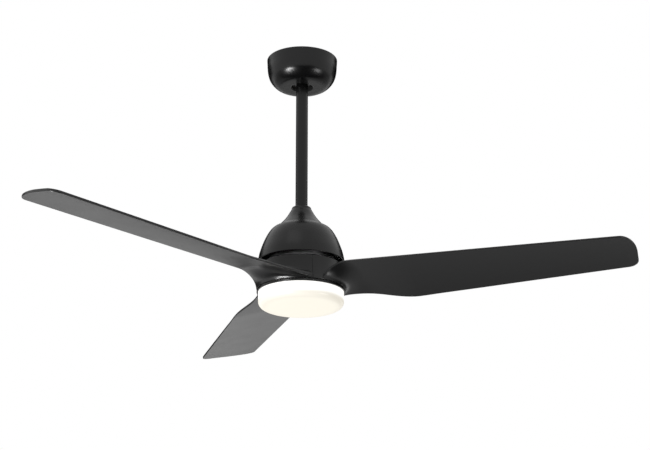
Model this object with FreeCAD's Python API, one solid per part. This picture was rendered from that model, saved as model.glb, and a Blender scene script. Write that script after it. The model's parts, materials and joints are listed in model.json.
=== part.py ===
"""Ceiling fan with light: three moulded blades, a direct-drive motor and an LED light.

Units are millimetres.  The origin is the centre of the canopy on the ceiling plane,
+Z is up, and everything hangs below it.  Blade 1 points along +X.  Each sub-part is
one function that returns its shape, and the last section writes one STEP file each.
"""
import FreeCAD, Part
import math
import os

# --- Driving dimensions -----------------------------------------------------------

TIP_RADIUS = 686.0           # fan axis to blade tip, a 1372 mm sweep
BLADE_COUNT = 3

# Canopy and hanger bracket
CANOPY_RADIUS = 75.2
CANOPY_HEIGHT = 62.5
CANOPY_WALL = 1.5
CANOPY_FLAT_RADIUS = 40.0    # flat underside around the hole
SWING_ROOM = 10.3            # rod to the canopy hole, for the swing
BRACKET_THICK = 2.0
BRACKET_WIDTH = 38.0
BRACKET_SLOT_SPACING = 88.9  # ceiling box screw spacing
BRACKET_SLOT_WIDTH = 5.2
BRACKET_SLOT_LENGTH = 13.0
BRACKET_WIRE_RADIUS = 11.0
BRACKET_LEG_GAP = 66.0       # clear width between the two legs
RECEIVER_HEIGHT = 12.0
RECEIVER_LENGTH = 100.0
BALL_RADIUS = 28.0
BALL_CENTRE_Z = -33.0
BALL_TOP_CUT = 6.0           # flat above the ball's centre
BALL_TRUNCATION = 5.5        # flat below, short of the full ball
SEAT_GAP = 0.3               # ball to seat, and other loose seats
RUNNING = 0.05               # radial running clearance of a pin in its bore
PIN_RADIUS = 4.0

# Downrod and coupling
ROD_RADIUS = 12.7
ROD_WALL = 1.5
ROD_LENGTH = 337.0
NECK_TOP_WIDTH = 7.7         # neck cover outside the rod at its top
NECK_BOTTOM_RADIUS = 50.0
NECK_HEIGHT = 45.0
NECK_WALL = 1.6
SHEET_GAP = 0.3

# Motor housing and motor
DOME_RADIUS = 89.9
DOME_BELOW_ROD = 16.8        # dome's crown below the rod's end
DOME_HEIGHT = 76.5
DOME_WALL = 2.0
SHAFT_RADIUS = 8.5
SHAFT_BORE = 5.0
BEARING_SECTION = 11.5       # bearing thickness, bore to outside
BEARING_WIDTH = 12.0
BEARING_BALL_RADIUS = 3.37
BEARING_BALLS = 8
MOTOR_HEIGHT = 40.0          # outside height of the two motor shells
STACK_HEIGHT = 18.0          # laminated stator stack
STATOR_RADIUS = 53.0
STATOR_TEETH = 12
AIR_GAP = 0.8
MAGNET_THICK = 3.5
GLUE = 0.05                  # magnet to flux ring
MAGNET_COUNT = 16

# Rotating hub and blades
HUB_TOP_RADIUS = 83.0
HUB_FLARE = 9.0              # how much wider the hub is at the bottom
HUB_HEIGHT = 53.0
HUB_WALL = 3.0
HUB_GAP = 6.0                # dome rim to hub rim
SEAM_GAP = 0.3               # between neighbouring blade roots
BLADE_EDGE = 2.6             # blade thickness at its edges
BLADE_MIDDLE = 5.6           # blade thickness at mid chord
BLADE_CAMBER = 3.5
LEADING_OFFSET = 64.0        # straight leading edge, to one side of the blade's axis
ROOT_CHORD_OFFSET = 88.0     # trailing edge at its widest
TIP_CHORD_OFFSET = 60.0      # trailing edge at the tip
WIDEST_RADIUS = 225.0        # where the trailing edge is widest
WEB_THICK = 4.0

# Light
LIGHT_RADIUS = 88.0
LIGHT_HEIGHT = 33.5
LIGHT_EDGE = 11.0            # rounding of the diffuser's lower edge
DIFFUSER_WALL = 2.2
TRIM_WIDTH = 3.4             # trim ring outside the diffuser
TRIM_HEIGHT = 4.5
HUB_LIGHT_GAP = 1.6
LED_COUNT_OUTER = 24
LED_COUNT_INNER = 12

# --- Derived places ---------------------------------------------------------------

Z = FreeCAD.Vector(0, 0, 1)
BALL_CENTRE = FreeCAD.Vector(0, 0, BALL_CENTRE_Z)
CANOPY_HOLE_RADIUS = ROD_RADIUS + SWING_ROOM
NECK_TOP_RADIUS = ROD_RADIUS + NECK_TOP_WIDTH
BEARING_OUTER_RADIUS = SHAFT_RADIUS + BEARING_SECTION
TRIM_RADIUS = LIGHT_RADIUS + TRIM_WIDTH
HUB_BOTTOM_RADIUS = HUB_TOP_RADIUS + HUB_FLARE
LEG_X = BRACKET_LEG_GAP / 2.0
ROD_TOP = BALL_CENTRE_Z + BALL_TOP_CUT
ROD_BOTTOM = ROD_TOP - ROD_LENGTH
DOME_TOP_Z = ROD_BOTTOM - DOME_BELOW_ROD
DOME_RIM = DOME_TOP_Z - DOME_HEIGHT
NECK_TOP = DOME_TOP_Z + NECK_HEIGHT
YOKE_BASE_TOP = DOME_TOP_Z + 6.0
HUB_TOP = DOME_RIM - HUB_GAP
HUB_BOTTOM = HUB_TOP - HUB_HEIGHT
TRIM_TOP = HUB_BOTTOM - HUB_LIGHT_GAP
LIGHT_TOP = TRIM_TOP - TRIM_HEIGHT / 2.0
MOTOR_TOP = HUB_TOP + 28.0
MOTOR_BOTTOM = MOTOR_TOP - MOTOR_HEIGHT
MOTOR_MIDDLE = (MOTOR_TOP + MOTOR_BOTTOM) / 2.0
SHELL_WALL = 3.0
BEARING_PITCH = (SHAFT_RADIUS + BEARING_OUTER_RADIUS) / 2.0
UPPER_BEARING = MOTOR_TOP + 2.0                        # top face of the upper bearing
LOWER_BEARING = MOTOR_BOTTOM + 7.0                     # top face of the lower bearing
WEB_TOP = MOTOR_BOTTOM
PAN_THICK = 2.0
PAN_TOP = TRIM_TOP + 2.5
SHAFT_TOP = DOME_TOP_Z + 7.8
SHAFT_BOTTOM = PAN_TOP - PAN_THICK - 9.0
SEAM_ANGLE = 180.0 / BLADE_COUNT   # from a blade to the seam beside it, degrees


# --- Helpers ----------------------------------------------------------------------

def vec(x, y, z):
    return FreeCAD.Vector(x, y, z)


def disc(radius, bottom, top):
    return Part.makeCylinder(radius, top - bottom, vec(0, 0, bottom))


def ring(outer, inner, bottom, top):
    return disc(outer, bottom, top).cut(disc(inner, bottom - 1.0, top + 1.0))


def block(x0, x1, y0, y1, z0, z1):
    return Part.makeBox(x1 - x0, y1 - y0, z1 - z0, vec(x0, y0, z0))


def rod_along(radius, start, end):
    path = end.sub(start)
    return Part.makeCylinder(radius, path.Length, start, path)


def turned(shape, angle, centre=None):
    copy = shape.copy()
    copy.rotate(centre or vec(0, 0, 0), Z, angle)
    return copy


def around(shape, count, first=0.0):
    """Copies of a shape, evenly spaced about the fan's axis."""
    return [turned(shape, first + 360.0 * n / count) for n in range(count)]


def profile_solid(edges):
    """Turns a closed outline in the XZ plane about the fan's axis."""
    face = Part.Face(Part.Wire(Part.__sortEdges__(edges)))
    return face.revolve(vec(0, 0, 0), Z, 360)


def line(a, b):
    return Part.LineSegment(vec(a[0], 0, a[1]), vec(b[0], 0, b[1])).toShape()


def arc(a, middle, b):
    points = [vec(p[0], 0, p[1]) for p in (a, middle, b)]
    return Part.Arc(*points).toShape()


def polygon_solid(points):
    """Turns a closed polygon of (radius, z) points about the fan's axis."""
    corners = list(points)
    edges = [line(a, b) for a, b in zip(corners, corners[1:] + corners[:1])]
    return profile_solid(edges)


def upright_edges(shape):
    """Edges whose ends are at different heights."""
    return [edge for edge in shape.Edges if abs(edge.Vertexes[0].Z - edge.Vertexes[-1].Z) > 1]


def screw(head_radius, head_height, radius, length, slot=True):
    """A pan-head screw at the origin: its seat is at z=0 and its shank points down."""
    head = Part.makeCylinder(head_radius, head_height)
    head = head.makeFillet(head_height * 0.35, [head.Edges[0]])
    body = head.fuse(Part.makeCylinder(radius, length, vec(0, 0, -length)))
    if slot:
        arm = head_radius * 0.62
        wide = head_radius * 0.2
        deep = head_height * 0.6
        body = body.cut(block(-arm, arm, -wide, wide, head_height - deep, head_height + 1))
        body = body.cut(block(-wide, wide, -arm, arm, head_height - deep, head_height + 1))
    return body.removeSplitter()


def placed(shape, position, direction=None):
    """Moves a screw-like shape so that its head faces along direction."""
    copy = shape.copy()
    turn = FreeCAD.Rotation(Z, direction or Z)
    copy.Placement = FreeCAD.Placement(position, turn)
    return copy


def group(shapes):
    return Part.makeCompound(shapes)


# --- Ceiling side -----------------------------------------------------------------

CANOPY_SCREW_Z = -8.5
CANOPY_SCREW_RADIUS = 2.0
TAB_REACH = 0.6              # bracket tab to the canopy's inner wall
SEAT_TOP = BALL_CENTRE_Z - (BALL_RADIUS - 19.0)
SEAT_BOTTOM = BALL_CENTRE_Z - (BALL_RADIUS - 8.0)
SEAT_OUTER_RADIUS = BALL_RADIUS + 6.0
SEAT_HOLE_RADIUS = ROD_RADIUS + 7.3
TAB_WIDTH = 5.0
TAB_SLACK = 2.6


def canopy_outline(offset):
    """Points of the canopy's outside, moved inwards by offset."""
    r = CANOPY_RADIUS - offset
    low = -CANOPY_HEIGHT + offset
    shoulder = -28.0
    top = (r, 0.0)
    wall_end = (r - 1.9, shoulder)
    bulge = (r - 5.8, shoulder - 15.5 + offset * 0.4)
    round_end = (r - 18.0, low + 4.5)
    curl = (r - 26.2, low + 0.9)
    flat = (CANOPY_FLAT_RADIUS, low)
    return top, wall_end, bulge, round_end, curl, flat


def canopy():
    """Spun sheet cup with a rod hole in its underside and two screw holes."""
    o_top, o_wall, o_bulge, o_round, o_curl, o_flat = canopy_outline(0.0)
    i_top, i_wall, i_bulge, i_round, i_curl, i_flat = canopy_outline(CANOPY_WALL)
    o_hole = (CANOPY_HOLE_RADIUS, o_flat[1])
    i_hole = (CANOPY_HOLE_RADIUS, i_flat[1])
    shell = profile_solid([
        line(o_top, o_wall), arc(o_wall, o_bulge, o_round), arc(o_round, o_curl, o_flat),
        line(o_flat, o_hole), line(o_hole, i_hole), line(i_hole, i_flat),
        arc(i_flat, i_curl, i_round), arc(i_round, i_bulge, i_wall), line(i_wall, i_top),
        line(i_top, o_top)])
    for side in (-1, 1):
        start = vec(side * (CANOPY_RADIUS - 8.0), 0, CANOPY_SCREW_Z)
        end = vec(side * (CANOPY_RADIUS + 3.0), 0, CANOPY_SCREW_Z)
        shell = shell.cut(rod_along(CANOPY_SCREW_RADIUS + 0.2, start, end))
    return shell


def tab_outer_x():
    return CANOPY_RADIUS - CANOPY_WALL - TAB_REACH - 1.2


def ball_solid(radius):
    return Part.makeSphere(radius, BALL_CENTRE)


def mounting_bracket():
    """Steel strap: a ceiling plate, two tabs for the canopy, two legs and a ball seat."""
    half = BRACKET_WIDTH / 2.0
    reach = tab_outer_x()
    t = BRACKET_THICK
    plate = block(-reach, reach, -half, half, -t, 0)
    plate = plate.common(disc(CANOPY_RADIUS - CANOPY_WALL - TAB_REACH, -t, 0))
    tab_half = 7.0
    parts = []
    for side in (-1, 1):
        x0, x1 = sorted((side * (reach - t), side * reach))
        parts.append(block(x0, x1, -tab_half, tab_half, CANOPY_SCREW_Z - 6.0, -t))
        x0, x1 = sorted((side * LEG_X, side * (LEG_X + t)))
        parts.append(block(x0, x1, -half + 3, half - 3, SEAT_BOTTOM, -t))
    seat = disc(SEAT_OUTER_RADIUS, SEAT_BOTTOM, SEAT_TOP)
    seat = seat.common(block(-LEG_X - t, LEG_X + t, -60, 60, SEAT_BOTTOM, SEAT_TOP))
    body = plate.multiFuse(parts + [seat])
    body = body.cut(ball_solid(BALL_RADIUS + SEAT_GAP))
    body = body.cut(disc(SEAT_HOLE_RADIUS, SEAT_BOTTOM - 1, SEAT_TOP + 1))
    entry = ROD_RADIUS + 3.0
    body = body.cut(block(-entry, entry, 0, 60, SEAT_BOTTOM - 1, SEAT_TOP + 1))
    tab_inner = BALL_RADIUS - 3.0
    tab = block(tab_inner, LEG_X, -TAB_WIDTH / 2, TAB_WIDTH / 2, SEAT_TOP - 3.0, SEAT_TOP + 3.0)
    body = body.fuse(tab)
    body = body.cut(disc(BRACKET_WIRE_RADIUS, -t - 1, 1))
    for side in (-1, 1):
        centre = side * BRACKET_SLOT_SPACING / 2.0
        r = BRACKET_SLOT_WIDTH / 2.0
        span = BRACKET_SLOT_LENGTH / 2.0 - r
        slot = block(centre - span, centre + span, -r, r, -t - 1, 1)
        for end in (-span, span):
            slot = slot.fuse(Part.makeCylinder(r, t + 2, vec(centre + end, 0, -t - 1)))
        body = body.cut(slot)
        start = vec(side * (reach - t - 1), 0, CANOPY_SCREW_Z)
        end = vec(side * (reach + 1), 0, CANOPY_SCREW_Z)
        body = body.cut(rod_along(CANOPY_SCREW_RADIUS, start, end))
    earth = Part.makeCylinder(EARTH_RADIUS, t + 2, vec(EARTH_X, EARTH_Y, -t - 1))
    return body.cut(earth).removeSplitter()


EARTH_RADIUS = 1.75
EARTH_X = 50.0
EARTH_Y = -12.0


def earth_screw():
    """Screw for the earth wire, through the bracket's plate from below."""
    return placed(screw(3.6, 2.2, EARTH_RADIUS, BRACKET_THICK - 0.4),
                  vec(EARTH_X, EARTH_Y, -BRACKET_THICK), vec(0, 0, -1))


def canopy_screws():
    """Two screws through the canopy's wall into the bracket's tabs."""
    seat = CANOPY_RADIUS - 0.3
    length = seat - tab_outer_x() + BRACKET_THICK + 2.0
    model = screw(3.4, 1.8, CANOPY_SCREW_RADIUS, length)
    return group([placed(model, vec(side * seat, 0, CANOPY_SCREW_Z), vec(side, 0, 0))
                  for side in (-1, 1)])


RECEIVER_WALL = 1.5
RECEIVER_LID = 1.6
RECEIVER_CORNER = 9.0


def receiver_width():
    return BRACKET_LEG_GAP - 2 * SEAT_GAP


def receiver_top():
    return -BRACKET_THICK - SEAT_GAP


def receiver_case():
    """Open-bottomed tray of the wireless receiver, between the bracket's legs."""
    x = receiver_width() / 2.0
    y = RECEIVER_LENGTH / 2.0
    top = receiver_top()
    low = top - RECEIVER_HEIGHT + RECEIVER_LID
    w = RECEIVER_WALL
    case = block(-x, x, -y, y, low, top)
    case = case.makeFillet(RECEIVER_CORNER, upright_edges(case))
    case = case.cut(block(-x + w, x - w, -y + 9, y - 9, low - 1, top - w))
    for px, py in receiver_posts():
        case = case.fuse(Part.makeCylinder(2.5, 4.0, vec(px, py, top - w - 4.0)))
    return case.removeSplitter()


def receiver_posts():
    x = receiver_width() / 2.0 - 7.0
    y = RECEIVER_LENGTH / 2.0 - 15.0
    return [(sx * x, sy * y) for sx in (-1, 1) for sy in (-1, 1)]


def receiver_lid():
    x = receiver_width() / 2.0
    y = RECEIVER_LENGTH / 2.0
    top = receiver_top() - RECEIVER_HEIGHT + RECEIVER_LID
    lid = block(-x, x, -y, y, top - RECEIVER_LID, top)
    return lid.makeFillet(RECEIVER_CORNER, upright_edges(lid))


def receiver_board():
    """Circuit board against the case's posts, with its larger components."""
    x = receiver_width() / 2.0 - RECEIVER_WALL - 1.0
    y = RECEIVER_LENGTH / 2.0 - 10.0
    top = receiver_top() - RECEIVER_WALL - 4.0
    board = block(-x, x, -y, y, top - 1.2, top)
    relay = block(-20, -6, -24, -8, top - 4.2, top - 1.2)
    chip = block(2, 14, 4, 14, top - 2.6, top - 1.2)
    capacitor = Part.makeCylinder(5.0, 3.0, vec(-16, 16, top - 4.2))
    return board.multiFuse([relay, chip, capacitor]).removeSplitter()


# --- Hanger ball, pin and downrod -------------------------------------------------

SET_SCREW_RADIUS = 2.5
PIN_HALF_LENGTH = BALL_RADIUS - 3.5


def hanger_ball():
    """Ball on top of the rod, cut flat above and below, with a slot for the seat's tab."""
    ball = ball_solid(BALL_RADIUS)
    keep = disc(BALL_RADIUS + 1, BALL_CENTRE_Z - BALL_RADIUS + BALL_TRUNCATION, ROD_TOP)
    ball = ball.common(keep)
    ball = ball.cut(disc(ROD_RADIUS, BALL_CENTRE_Z - 40, BALL_CENTRE_Z + 40))
    slot = TAB_WIDTH / 2.0 + TAB_SLACK
    ball = ball.cut(block(BALL_RADIUS - 6.5, BALL_RADIUS + 5, -slot, slot, -90, 0))
    y = BALL_RADIUS + 5
    ball = ball.cut(rod_along(PIN_RADIUS + RUNNING, vec(0, -y, BALL_CENTRE_Z), vec(0, y, BALL_CENTRE_Z)))
    screw_hole = rod_along(SET_SCREW_RADIUS, vec(-ROD_RADIUS, 0, BALL_CENTRE_Z),
                           vec(-BALL_RADIUS - 5, 0, BALL_CENTRE_Z))
    return ball.cut(screw_hole).removeSplitter()


def ball_set_screw():
    """Socket set screw that locks the ball to the rod."""
    end = BALL_RADIUS - 4.0
    body = rod_along(SET_SCREW_RADIUS, vec(-ROD_RADIUS, 0, BALL_CENTRE_Z), vec(-end, 0, BALL_CENTRE_Z))
    body = body.common(disc(BALL_RADIUS * 2, -90, 0).cut(disc(ROD_RADIUS, -91, 1)))
    corners = [math.radians(60 * k) for k in range(7)]
    hexagon = Part.Face(Part.makePolygon([
        vec(-end - 1, 1.3 * math.cos(turn), BALL_CENTRE_Z + 1.3 * math.sin(turn)) for turn in corners]))
    return body.cut(hexagon.extrude(vec(4.0, 0, 0)))


def hanger_pin():
    """Cross pin through the ball and the rod."""
    return rod_along(PIN_RADIUS, vec(0, -PIN_HALF_LENGTH, BALL_CENTRE_Z),
                     vec(0, PIN_HALF_LENGTH, BALL_CENTRE_Z))


CLEVIS_Z_ABOVE_ROD_END = 8.0
YOKE_OUTER_RADIUS = ROD_RADIUS + 4.8
CLEVIS_RADIUS = 3.0
YOKE_SCREW_RADIUS = 3.0


def clevis_z():
    return ROD_BOTTOM + CLEVIS_Z_ABOVE_ROD_END


def downrod():
    """Steel tube with a cross hole at each end."""
    tube = ring(ROD_RADIUS, ROD_RADIUS - ROD_WALL, ROD_BOTTOM, ROD_TOP)
    y = ROD_RADIUS + 5
    tube = tube.cut(rod_along(PIN_RADIUS + RUNNING, vec(0, -y, BALL_CENTRE_Z), vec(0, y, BALL_CENTRE_Z)))
    return tube.cut(rod_along(CLEVIS_RADIUS, vec(-y, 0, clevis_z()), vec(y, 0, clevis_z())))


YOKE_TOP_ABOVE_ROD_END = 18.0
YOKE_FLANGE_RADIUS = YOKE_OUTER_RADIUS + 16.5
ROD_FIT = 0.05


def yoke():
    """Coupling that holds the rod above and the motor's shaft and dome below."""
    top = ROD_BOTTOM + YOKE_TOP_ABOVE_ROD_END
    collar = disc(YOKE_OUTER_RADIUS, YOKE_BASE_TOP, top)
    flange = disc(YOKE_FLANGE_RADIUS, DOME_TOP_Z, YOKE_BASE_TOP)
    body = collar.fuse(flange)
    body = body.cut(disc(ROD_RADIUS + ROD_FIT, ROD_BOTTOM, top + 1))
    body = body.cut(disc(SHAFT_RADIUS, DOME_TOP_Z - 1, ROD_BOTTOM + 1))
    body = body.cut(disc(ROD_RADIUS - ROD_WALL, SHAFT_TOP, ROD_BOTTOM + 1))
    reach = YOKE_OUTER_RADIUS + 2
    body = body.cut(rod_along(CLEVIS_RADIUS, vec(-reach, 0, clevis_z()), vec(reach, 0, clevis_z())))
    for start in (-1, 1):
        hole = rod_along(YOKE_SCREW_RADIUS, vec(0, start * ROD_RADIUS, clevis_z()),
                         vec(0, start * reach, clevis_z()))
        body = body.cut(hole)
    start = vec(HOUSING_SCREW_CIRCLE, 0, DOME_TOP_Z - 5)
    for hole in around(Part.makeCylinder(HOUSING_SCREW_RADIUS, 20, start), 3, 30):
        body = body.cut(hole)
    return body.removeSplitter()


HOUSING_SCREW_RADIUS = 2.0
HOUSING_SCREW_CIRCLE = YOKE_OUTER_RADIUS + 9.5


def clevis_pin():
    """Headed pin through the coupling and the rod."""
    reach = YOKE_OUTER_RADIUS + 3.6
    z = clevis_z()
    pin = rod_along(CLEVIS_RADIUS, vec(-YOKE_OUTER_RADIUS, 0, z), vec(reach, 0, z))
    under_head = vec(-YOKE_OUTER_RADIUS, 0, z)
    head = rod_along(CLEVIS_RADIUS + 1.6, under_head.sub(vec(1.8, 0, 0)), under_head)
    hole = Part.makeCylinder(COTTER_RADIUS, 12, vec(YOKE_OUTER_RADIUS + 1.8, 0, z - 6))
    return pin.fuse(head).cut(hole).removeSplitter()


COTTER_RADIUS = 0.8


def cotter_clip():
    """Hairpin clip through the end of the clevis pin."""
    x = YOKE_OUTER_RADIUS + 1.8
    z = clevis_z()
    leg_top = z + CLEVIS_RADIUS + 1.2
    bend = 2.4
    straight = Part.LineSegment(vec(x, 0, z - 6.5), vec(x, 0, leg_top)).toShape()
    over = Part.Arc(vec(x, 0, leg_top), vec(x, -bend, leg_top + bend), vec(x, -2 * bend, leg_top)).toShape()
    back = Part.LineSegment(vec(x, -2 * bend, leg_top), vec(x, -2 * bend, z - 4.0)).toShape()
    path = Part.Wire([straight, over, back])
    section = Part.Wire(Part.makeCircle(COTTER_RADIUS, vec(x, 0, z - 6.5), Z))
    return path.makePipeShell([section], True, True)


def yoke_set_screws():
    """Two set screws with lock nuts that steady the rod in the coupling."""
    z = clevis_z()
    shapes = []
    for side in (-1, 1):
        start = vec(0, side * (ROD_RADIUS + 0.1), z)
        body = rod_along(YOKE_SCREW_RADIUS, start, vec(0, side * (YOKE_OUTER_RADIUS + 5.0), z))
        nut = hexagon_nut(5.2, 2.4).cut(Part.makeCylinder(YOKE_SCREW_RADIUS - 0.5, 20, vec(0, 0, -5)))
        nut = placed(nut, vec(0, side * YOKE_OUTER_RADIUS, z), vec(0, side, 0))
        outside_rod = disc(YOKE_OUTER_RADIUS + 9, z - 9, z + 9).cut(disc(ROD_RADIUS + 0.05, z - 10, z + 10))
        body = body.common(outside_rod)
        nut = nut.cut(disc(YOKE_OUTER_RADIUS, z - 10, z + 10))
        shapes.append(body.fuse(nut).removeSplitter())
    return group(shapes)


def hexagon_nut(radius, height):
    points = [vec(radius * math.cos(math.radians(60 * k)), radius * math.sin(math.radians(60 * k)), 0)
              for k in range(7)]
    return Part.Face(Part.makePolygon(points)).extrude(vec(0, 0, height))


def neck_cover():
    """Flared cover that slides down the rod onto the dome and hides the coupling."""
    bottom = DOME_TOP_Z
    top = NECK_TOP
    w = NECK_WALL
    hole = ROD_RADIUS + SHEET_GAP
    middle_z = bottom + NECK_HEIGHT * 0.49
    middle_r = NECK_TOP_RADIUS + (NECK_BOTTOM_RADIUS - NECK_TOP_RADIUS) * 0.375
    edge_top = (NECK_TOP_RADIUS - 3.2, top)
    edge_mid = (NECK_TOP_RADIUS - 0.9, top - 1.2)
    edge_low = (NECK_TOP_RADIUS, top - 4.0)
    outer_low = (NECK_BOTTOM_RADIUS, bottom)
    inner_low = (NECK_BOTTOM_RADIUS - w * 1.45, bottom)
    inner_mid = (middle_r - w * 1.2, middle_z)
    inner_top = (NECK_TOP_RADIUS - w, top - 5.0)
    roof = (hole, top - 5.0)
    return profile_solid([
        line((hole, top), edge_top), arc(edge_top, edge_mid, edge_low),
        arc(edge_low, (middle_r, middle_z), outer_low), line(outer_low, inner_low),
        arc(inner_low, inner_mid, inner_top), line(inner_top, roof), line(roof, (hole, top))])


# --- Motor housing ----------------------------------------------------------------

def dome_outline(offset):
    """Points of the dome's outside from rim to crown, moved inwards by offset."""
    scale = (DOME_RADIUS - offset) / DOME_RADIUS
    low = DOME_RIM
    high = DOME_TOP_Z - offset
    tall = high - low
    rim = (DOME_RADIUS * scale, low)
    flank = (84.3 / 89.9 * DOME_RADIUS * scale, low + 0.355 * tall)
    shoulder = (71.4 / 89.9 * DOME_RADIUS * scale, low + 0.745 * tall)
    crown = (62.6 / 89.9 * DOME_RADIUS * scale, low + 0.905 * tall)
    flat = (NECK_BOTTOM_RADIUS * scale, high)
    return rim, flank, shoulder, crown, flat


DOME_PLATE = 3.0


def motor_housing():
    """Pressed dome over the motor, open below, with a thick flat crown."""
    rim, flank, shoulder, crown, flat = dome_outline(0.0)
    i_rim, i_flank, i_shoulder, i_crown, i_flat = dome_outline(DOME_WALL)
    i_plate = (i_flat[0] - 6.0, DOME_TOP_Z - DOME_PLATE)
    centre = (SHAFT_RADIUS, DOME_TOP_Z)
    i_centre = (SHAFT_RADIUS, DOME_TOP_Z - DOME_PLATE)
    shell = profile_solid([
        arc(rim, flank, shoulder), arc(shoulder, crown, flat), line(flat, centre),
        line(centre, i_centre), line(i_centre, i_plate), line(i_plate, i_flat),
        arc(i_flat, i_crown, i_shoulder), arc(i_shoulder, i_flank, i_rim), line(i_rim, rim)])
    start = vec(HOUSING_SCREW_CIRCLE, 0, DOME_TOP_Z - 10)
    for hole in around(Part.makeCylinder(HOUSING_SCREW_RADIUS, 20, start), 3, 30):
        shell = shell.cut(hole)
    return shell


def housing_screws():
    """Three screws that hold the dome under the coupling's flange."""
    model = screw(3.6, 2.4, HOUSING_SCREW_RADIUS, YOKE_BASE_TOP - DOME_TOP_Z + DOME_PLATE + 1.0)
    one = placed(model, vec(HOUSING_SCREW_CIRCLE, 0, YOKE_BASE_TOP))
    return group(around(one, 3, 30))


# --- Motor: fixed side ------------------------------------------------------------

LEAD_Z = PAN_TOP + 12.0
LEAD_RADIUS = 1.6


def motor_shaft():
    """Hollow fixed shaft, with a side hole for the light's lead."""
    tube = ring(SHAFT_RADIUS, SHAFT_BORE, SHAFT_BOTTOM, SHAFT_TOP)
    return tube.cut(rod_along(LEAD_RADIUS + 0.8, vec(0, 0, LEAD_Z), vec(0, 12, LEAD_Z)))


LOCKNUT_HEIGHT = 7.0
NUT_MARGIN = 5.5             # nut corner outside the shaft


def shaft_locknut():
    """Nut on the shaft that clamps the dome against the coupling."""
    top = DOME_TOP_Z - DOME_PLATE
    nut = hexagon_nut(SHAFT_RADIUS + NUT_MARGIN, LOCKNUT_HEIGHT).translated(vec(0, 0, top - LOCKNUT_HEIGHT))
    return nut.cut(disc(SHAFT_RADIUS, top - 20, top + 1))


CARRIER_RADIUS = BEARING_OUTER_RADIUS
YOKE_RING = 8.0              # back iron of the stator stack
TOOTH_WIDTH = 8.0
SLOT_OPEN = 3.0


def stack_span():
    return MOTOR_MIDDLE - STACK_HEIGHT / 2.0, MOTOR_MIDDLE + STACK_HEIGHT / 2.0


def stator_carrier():
    """Hub pressed on the shaft inside the stator stack."""
    low, high = stack_span()
    return ring(CARRIER_RADIUS, SHAFT_RADIUS, low, high)


def tooth_outline(grow, bottom, top):
    """Back iron and teeth, grown by grow on the tooth flanks."""
    shapes = [ring(CARRIER_RADIUS + YOKE_RING, CARRIER_RADIUS, bottom, top)]
    half = TOOTH_WIDTH / 2.0 + grow
    stem = block(CARRIER_RADIUS + YOKE_RING - 2, STATOR_RADIUS - 1.5, -half, half, bottom, top)
    shapes.extend(around(stem, STATOR_TEETH))
    pitch = 2 * math.pi * STATOR_RADIUS / STATOR_TEETH
    shoe_half = (pitch - SLOT_OPEN) / 2.0
    shoe = block(STATOR_RADIUS - 4.0, STATOR_RADIUS + 2.0, -shoe_half, shoe_half, bottom, top)
    shoe = shoe.common(ring(STATOR_RADIUS, STATOR_RADIUS - 3.0, bottom, top))
    shapes.extend(around(shoe, STATOR_TEETH))
    return shapes[0].multiFuse(shapes[1:]).removeSplitter()


def stator_core():
    low, high = stack_span()
    return tooth_outline(0.0, low, high)


INSULATOR = 1.0
COIL_THICK = 3.2
COIL_GAP = 0.2


def stator_insulators():
    """Insulating end plates above and below the stack."""
    low, high = stack_span()
    return group([tooth_outline(0.0, high, high + INSULATOR),
                  tooth_outline(0.0, low - INSULATOR, low)])


def stator_windings():
    """One coil around each tooth."""
    low, high = stack_span()
    inner = TOOTH_WIDTH / 2.0 + COIL_GAP
    outer = inner + COIL_THICK
    x0 = CARRIER_RADIUS + YOKE_RING + 3.5
    x1 = STATOR_RADIUS - 3.6
    lift = INSULATOR + COIL_GAP
    coil = block(x0, x1, -outer, outer, low - lift - COIL_THICK, high + lift + COIL_THICK)
    coil = coil.makeFillet(2.4, [e for e in coil.Edges if abs(e.Vertexes[0].X - e.Vertexes[1].X) > 1])
    coil = coil.cut(block(x0 - 1, x1 + 1, -inner, inner, low - lift, high + lift))
    return group(around(coil, STATOR_TEETH))


SENSOR_BOARD_THICK = 1.4


def sensor_board():
    """Round drive board under the stator, seated on the lower insulator."""
    low, _ = stack_span()
    top = low - INSULATOR
    board = ring(CARRIER_RADIUS + YOKE_RING - 1.0, SHAFT_RADIUS + 4.0, top - SENSOR_BOARD_THICK, top)
    under = top - SENSOR_BOARD_THICK
    chip = block(CARRIER_RADIUS, CARRIER_RADIUS + 5.5, -3, 3, under - 1.2, under)
    return board.multiFuse(around(chip, 3)).removeSplitter()


# --- Bearings ---------------------------------------------------------------------

RACE_THICK = 3.3
BEARING_TOPS = {"upper": UPPER_BEARING, "lower": LOWER_BEARING}
BALL_PLAY = 0.02


def groove(top):
    middle = top - BEARING_WIDTH / 2.0
    return Part.makeTorus(BEARING_PITCH, BEARING_BALL_RADIUS + BALL_PLAY, vec(0, 0, middle))


def inner_race(top):
    body = ring(SHAFT_RADIUS + RACE_THICK, SHAFT_RADIUS, top - BEARING_WIDTH, top)
    return body.cut(groove(top))


def outer_race(top):
    body = ring(BEARING_OUTER_RADIUS, BEARING_OUTER_RADIUS - RACE_THICK, top - BEARING_WIDTH, top)
    return body.cut(groove(top))


def bearing_balls(top):
    middle = top - BEARING_WIDTH / 2.0
    ball = Part.makeSphere(BEARING_BALL_RADIUS, vec(BEARING_PITCH, 0, middle))
    return group(around(ball, BEARING_BALLS))


def bearing_cage(top):
    """Pressed ring with one pocket for each ball."""
    middle = top - BEARING_WIDTH / 2.0
    body = ring(BEARING_PITCH + 0.8, BEARING_PITCH - 0.8, middle - 4.2, middle + 4.2)
    pocket = rod_along(BEARING_BALL_RADIUS + 0.12, vec(BEARING_PITCH - 4, 0, middle),
                       vec(BEARING_PITCH + 4, 0, middle))
    for one in around(pocket, BEARING_BALLS):
        body = body.cut(one)
    return body


CIRCLIP_THICK = 1.2


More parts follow.
